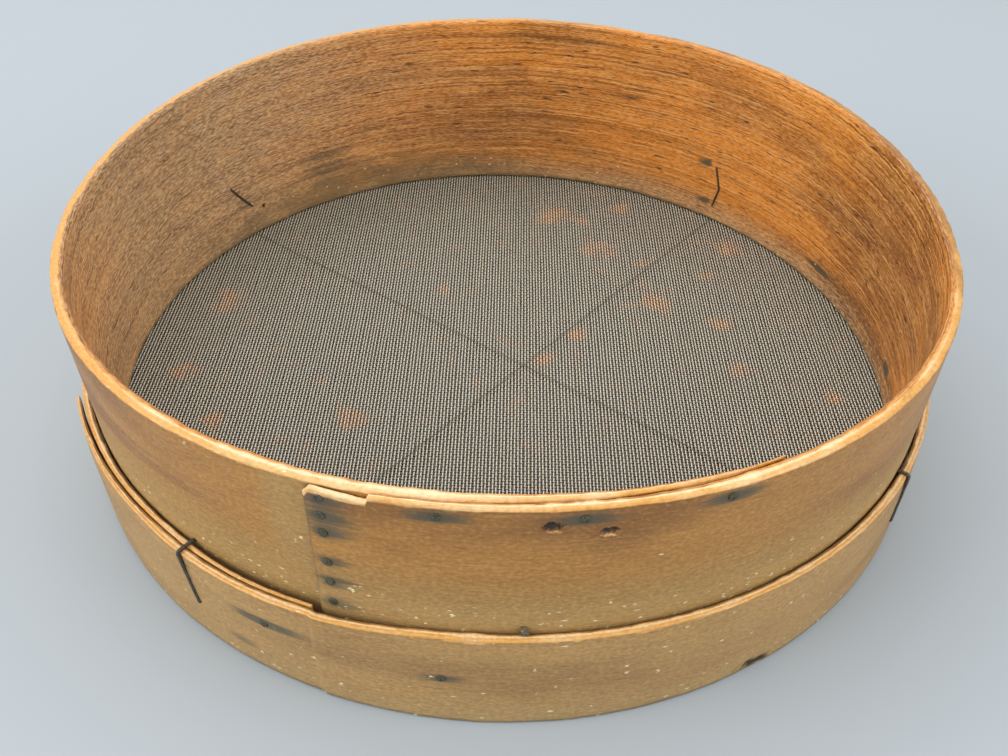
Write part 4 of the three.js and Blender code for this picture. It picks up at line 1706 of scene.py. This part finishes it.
@dataclass
class Studio:
    """A plain pale floor, soft light from above and the photograph's camera."""

    floor_colour: str = "a9b1b7"
    floor_rough: float = 0.85
    floor_half: float = 6000.0
    floor_drop: float = 0.3
    sky_colour: str = "eceded"
    sky_strength: float = 0.95
    position: tuple[float, float, float] = (0.0, -0.3262, 0.2850)
    pitch: float = 41.38
    yaw: float = -0.135
    roll: float = 1.178
    focal_px: float = 1000
    image_width: int = 1008
    sensor_mm: float = 36
    nearest: float = 0.01
    lamps: tuple[tuple[str, tuple[float, float, float], float, float], ...] = (
        ("window", (-0.4, 1.0, 1.3), 1.4, 5.0),
        ("ceiling", (-0.3, -0.1, 1.6), 1.6, 8.0),
        ("left", (-1.6, -0.6, 0.9), 1.2, 17.0),
        ("right", (1.6, -0.5, 0.9), 1.2, 12.0),
    )

    def build(self) -> None:
        """Sets up floor, sky, lamps and camera."""
        scene = bpy.context.scene
        scene.view_settings.view_transform = "Standard"
        self.floor()
        world = bpy.data.worlds.new("sky")
        world.use_nodes = True
        sky = world.node_tree.nodes["Background"]
        sky.inputs["Color"].default_value = linear(self.sky_colour)
        sky.inputs["Strength"].default_value = self.sky_strength
        scene.world = world
        for name, place, size, power in self.lamps:
            lamp = bpy.data.lights.new(name, "AREA")
            lamp.size, lamp.energy = size, power
            holder = bpy.data.objects.new(name, lamp)
            holder.location = place
            holder.rotation_euler = (-Vector(place)).to_track_quat("-Z", "Y").to_euler()
            scene.collection.objects.link(holder)
        self.camera()

    def floor(self) -> None:
        """Lays the floor and paints it: matt, even and pale, with no shine that draws the eye."""
        half = self.floor_half
        plan = [(-half, -half), (half, -half), (half, half), (-half, half)]
        corners = np.array([(x, y, -self.floor_drop) for x, y in plan])
        floor = mesh_object("floor", corners, np.array([[0, 1, 2, 3]]))
        paint = bpy.data.materials.new("matt_floor_paint")
        paint.use_nodes = True
        shader = paint.node_tree.nodes["Principled BSDF"]
        shader.inputs["Base Color"].default_value = linear(self.floor_colour)
        shader.inputs["Roughness"].default_value = self.floor_rough
        floor.data.materials.append(paint)

    def camera(self) -> None:
        """Sets the camera where the photograph was taken from."""
        lens = bpy.data.cameras.new("photograph")
        lens.sensor_width = self.sensor_mm
        lens.lens = lens.sensor_width * self.focal_px / self.image_width
        lens.clip_start = self.nearest
        pitch, yaw, roll = (math.radians(a) for a in (self.pitch, self.yaw, self.roll))
        level = math.cos(pitch)
        ahead = Vector((math.sin(yaw) * level, math.cos(yaw) * level, -math.sin(pitch)))
        right = Vector((math.cos(yaw), -math.sin(yaw), 0))
        up = right.cross(ahead)
        level_right = math.cos(roll) * right + math.sin(roll) * up
        level_up = math.cos(roll) * up - math.sin(roll) * right
        turn = Matrix((level_right, level_up, -ahead)).transposed()
        holder = bpy.data.objects.new("camera", lens)
        holder.matrix_world = Matrix.Translation(self.position) @ turn.to_4x4()
        bpy.context.scene.collection.objects.link(holder)
        bpy.context.scene.camera = holder


@dataclass
class Sieve:
    """The whole sieve, built piece by piece."""

    plan: SievePlan = field(default_factory=SievePlan)
    inner_stains: tuple[Spot, ...] = (
        Spot(Side.INNER, 50.5, 37.5, 2.5, 8, 2.2),
        Spot(Side.INNER, 49.8, 17, 2.5, 7, 2.0),
        Spot(Side.INNER, 21.7, 18, 8, 9, 1.8, 1.1),
        Spot(Side.INNER, 145, 28, 9, 9, 9, 0.45),
        Spot(Side.INNER, 127, 30, 24, 24, 12, 0.54),
        Spot(Side.INNER, 118, 44, 15, 15, 6, 0.45),
        Spot(Side.INNER, 354.6, 19.5, 4, 6, 3),
    )
    collar_stains: tuple[Spot, ...] = (
        Spot(Side.OUTER, 244.5, 29, 14, 16, 2.4),
        Spot(Side.OUTER, 264, 22.5, 8, 9, 2.2, 0.8),
        Spot(Side.OUTER, 240.5, 12, 9, 9, 4, 0.55),
        Spot(Side.OUTER, 325, 30, 4, 4, 8, 0.8),
        Spot(Side.OUTER, 234.2, 30, 2, 2, 13, 0.6),
    )
    body_dents: tuple[Spot, ...] = (
        Spot(Side.OUTER, 274.6, 85.9, 2.9, 3.9, 1.6, 1.3, 0.25),
        Spot(Side.OUTER, 280.0, 83.3, 2.5, 3.7, 1.5, 1.4, 0.25),
        Spot(Side.INNER, 140.9, 20.5, 1.2, 1.2, 1.1, 2.2),
    )
    body_scars: tuple[Spot, ...] = (
        Spot(Side.OUTER, 275.0, 84.1, 3.4, 4.2, 0.8, 0.62, 0.5),
        Spot(Side.OUTER, 273.4, 87.6, 1.4, 1.4, 0.6, 0.6, 0.4),
        Spot(Side.OUTER, 280.2, 81.6, 3.0, 3.4, 0.8, 0.62, 0.5),
    )
    collar_dents: tuple[Spot, ...] = (
        Spot(Side.OUTER, 300, 2.2, 7, 8, 2.4, 0.9, 0.5),
    )

    def build(self) -> None:
        """Builds and dresses every piece."""
        plan = self.plan
        tacks, wires = TackWork(plan), WireWork(plan)
        upper = UpperHoop(
            plan,
            name="bent_upper_hoop",
            node="upper_hoop",
            slot="body_wood",
            finish=BODY_ASH,
            bottom=plan.foot_height,
            top=plan.rim_height,
            edge=1.25,
            start=plan.body_lap[0],
            end=plan.body_lap[1] + FULL_TURN,
            seed=3,
            stains_and_shade=(*tacks.body_stains_and_shade(), *self.inner_stains),
            dents=self.body_dents,
            scars=self.body_scars,
            fine_turns=((251.4, 257.8), (272.5, 282), (500, 501.8)),
            fine_heights=((81, 88), (19, 22)),
        )
        lower = LowerHoop(
            plan,
            name="bent_lower_hoop",
            node="lower_hoop",
            slot="collar_wood",
            finish=COLLAR_ASH,
            bottom=0.0,
            top=plan.collar_height,
            edge=0.75,
            start=plan.collar_lap[0],
            end=plan.collar_lap[1] + FULL_TURN,
            seed=9,
            stains_and_shade=self.collar_stains,
            dents=self.collar_dents,
            fine_turns=((plan.collar_lap[1] - 0.4, plan.collar_lap[1] + 1),),
        )
        for hoop in (upper, lower):
            hoop.build()
        WireCloth(plan, wires.support_lines()).build()
        wires.build()
        tacks.build()

    def dress_hem(self, hem: bpy.types.Object) -> None:
        """Gives the hidden hem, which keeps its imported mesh, the finish of the cloth's weft."""
        hem.data.materials.clear()
        hem.data.materials.append(WEFT_IRON.material())


def main() -> None:
    """Loads the frame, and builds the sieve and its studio."""
    logging.basicConfig(level=logging.INFO, format="%(name)s %(message)s")
    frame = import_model()
    sieve = Sieve()
    sieve.build()
    sieve.dress_hem(frame["nodes"]["cloth_hem"])
    Studio().build()
    LOG.info("boxes written")


if __name__ == "__main__":
    main()
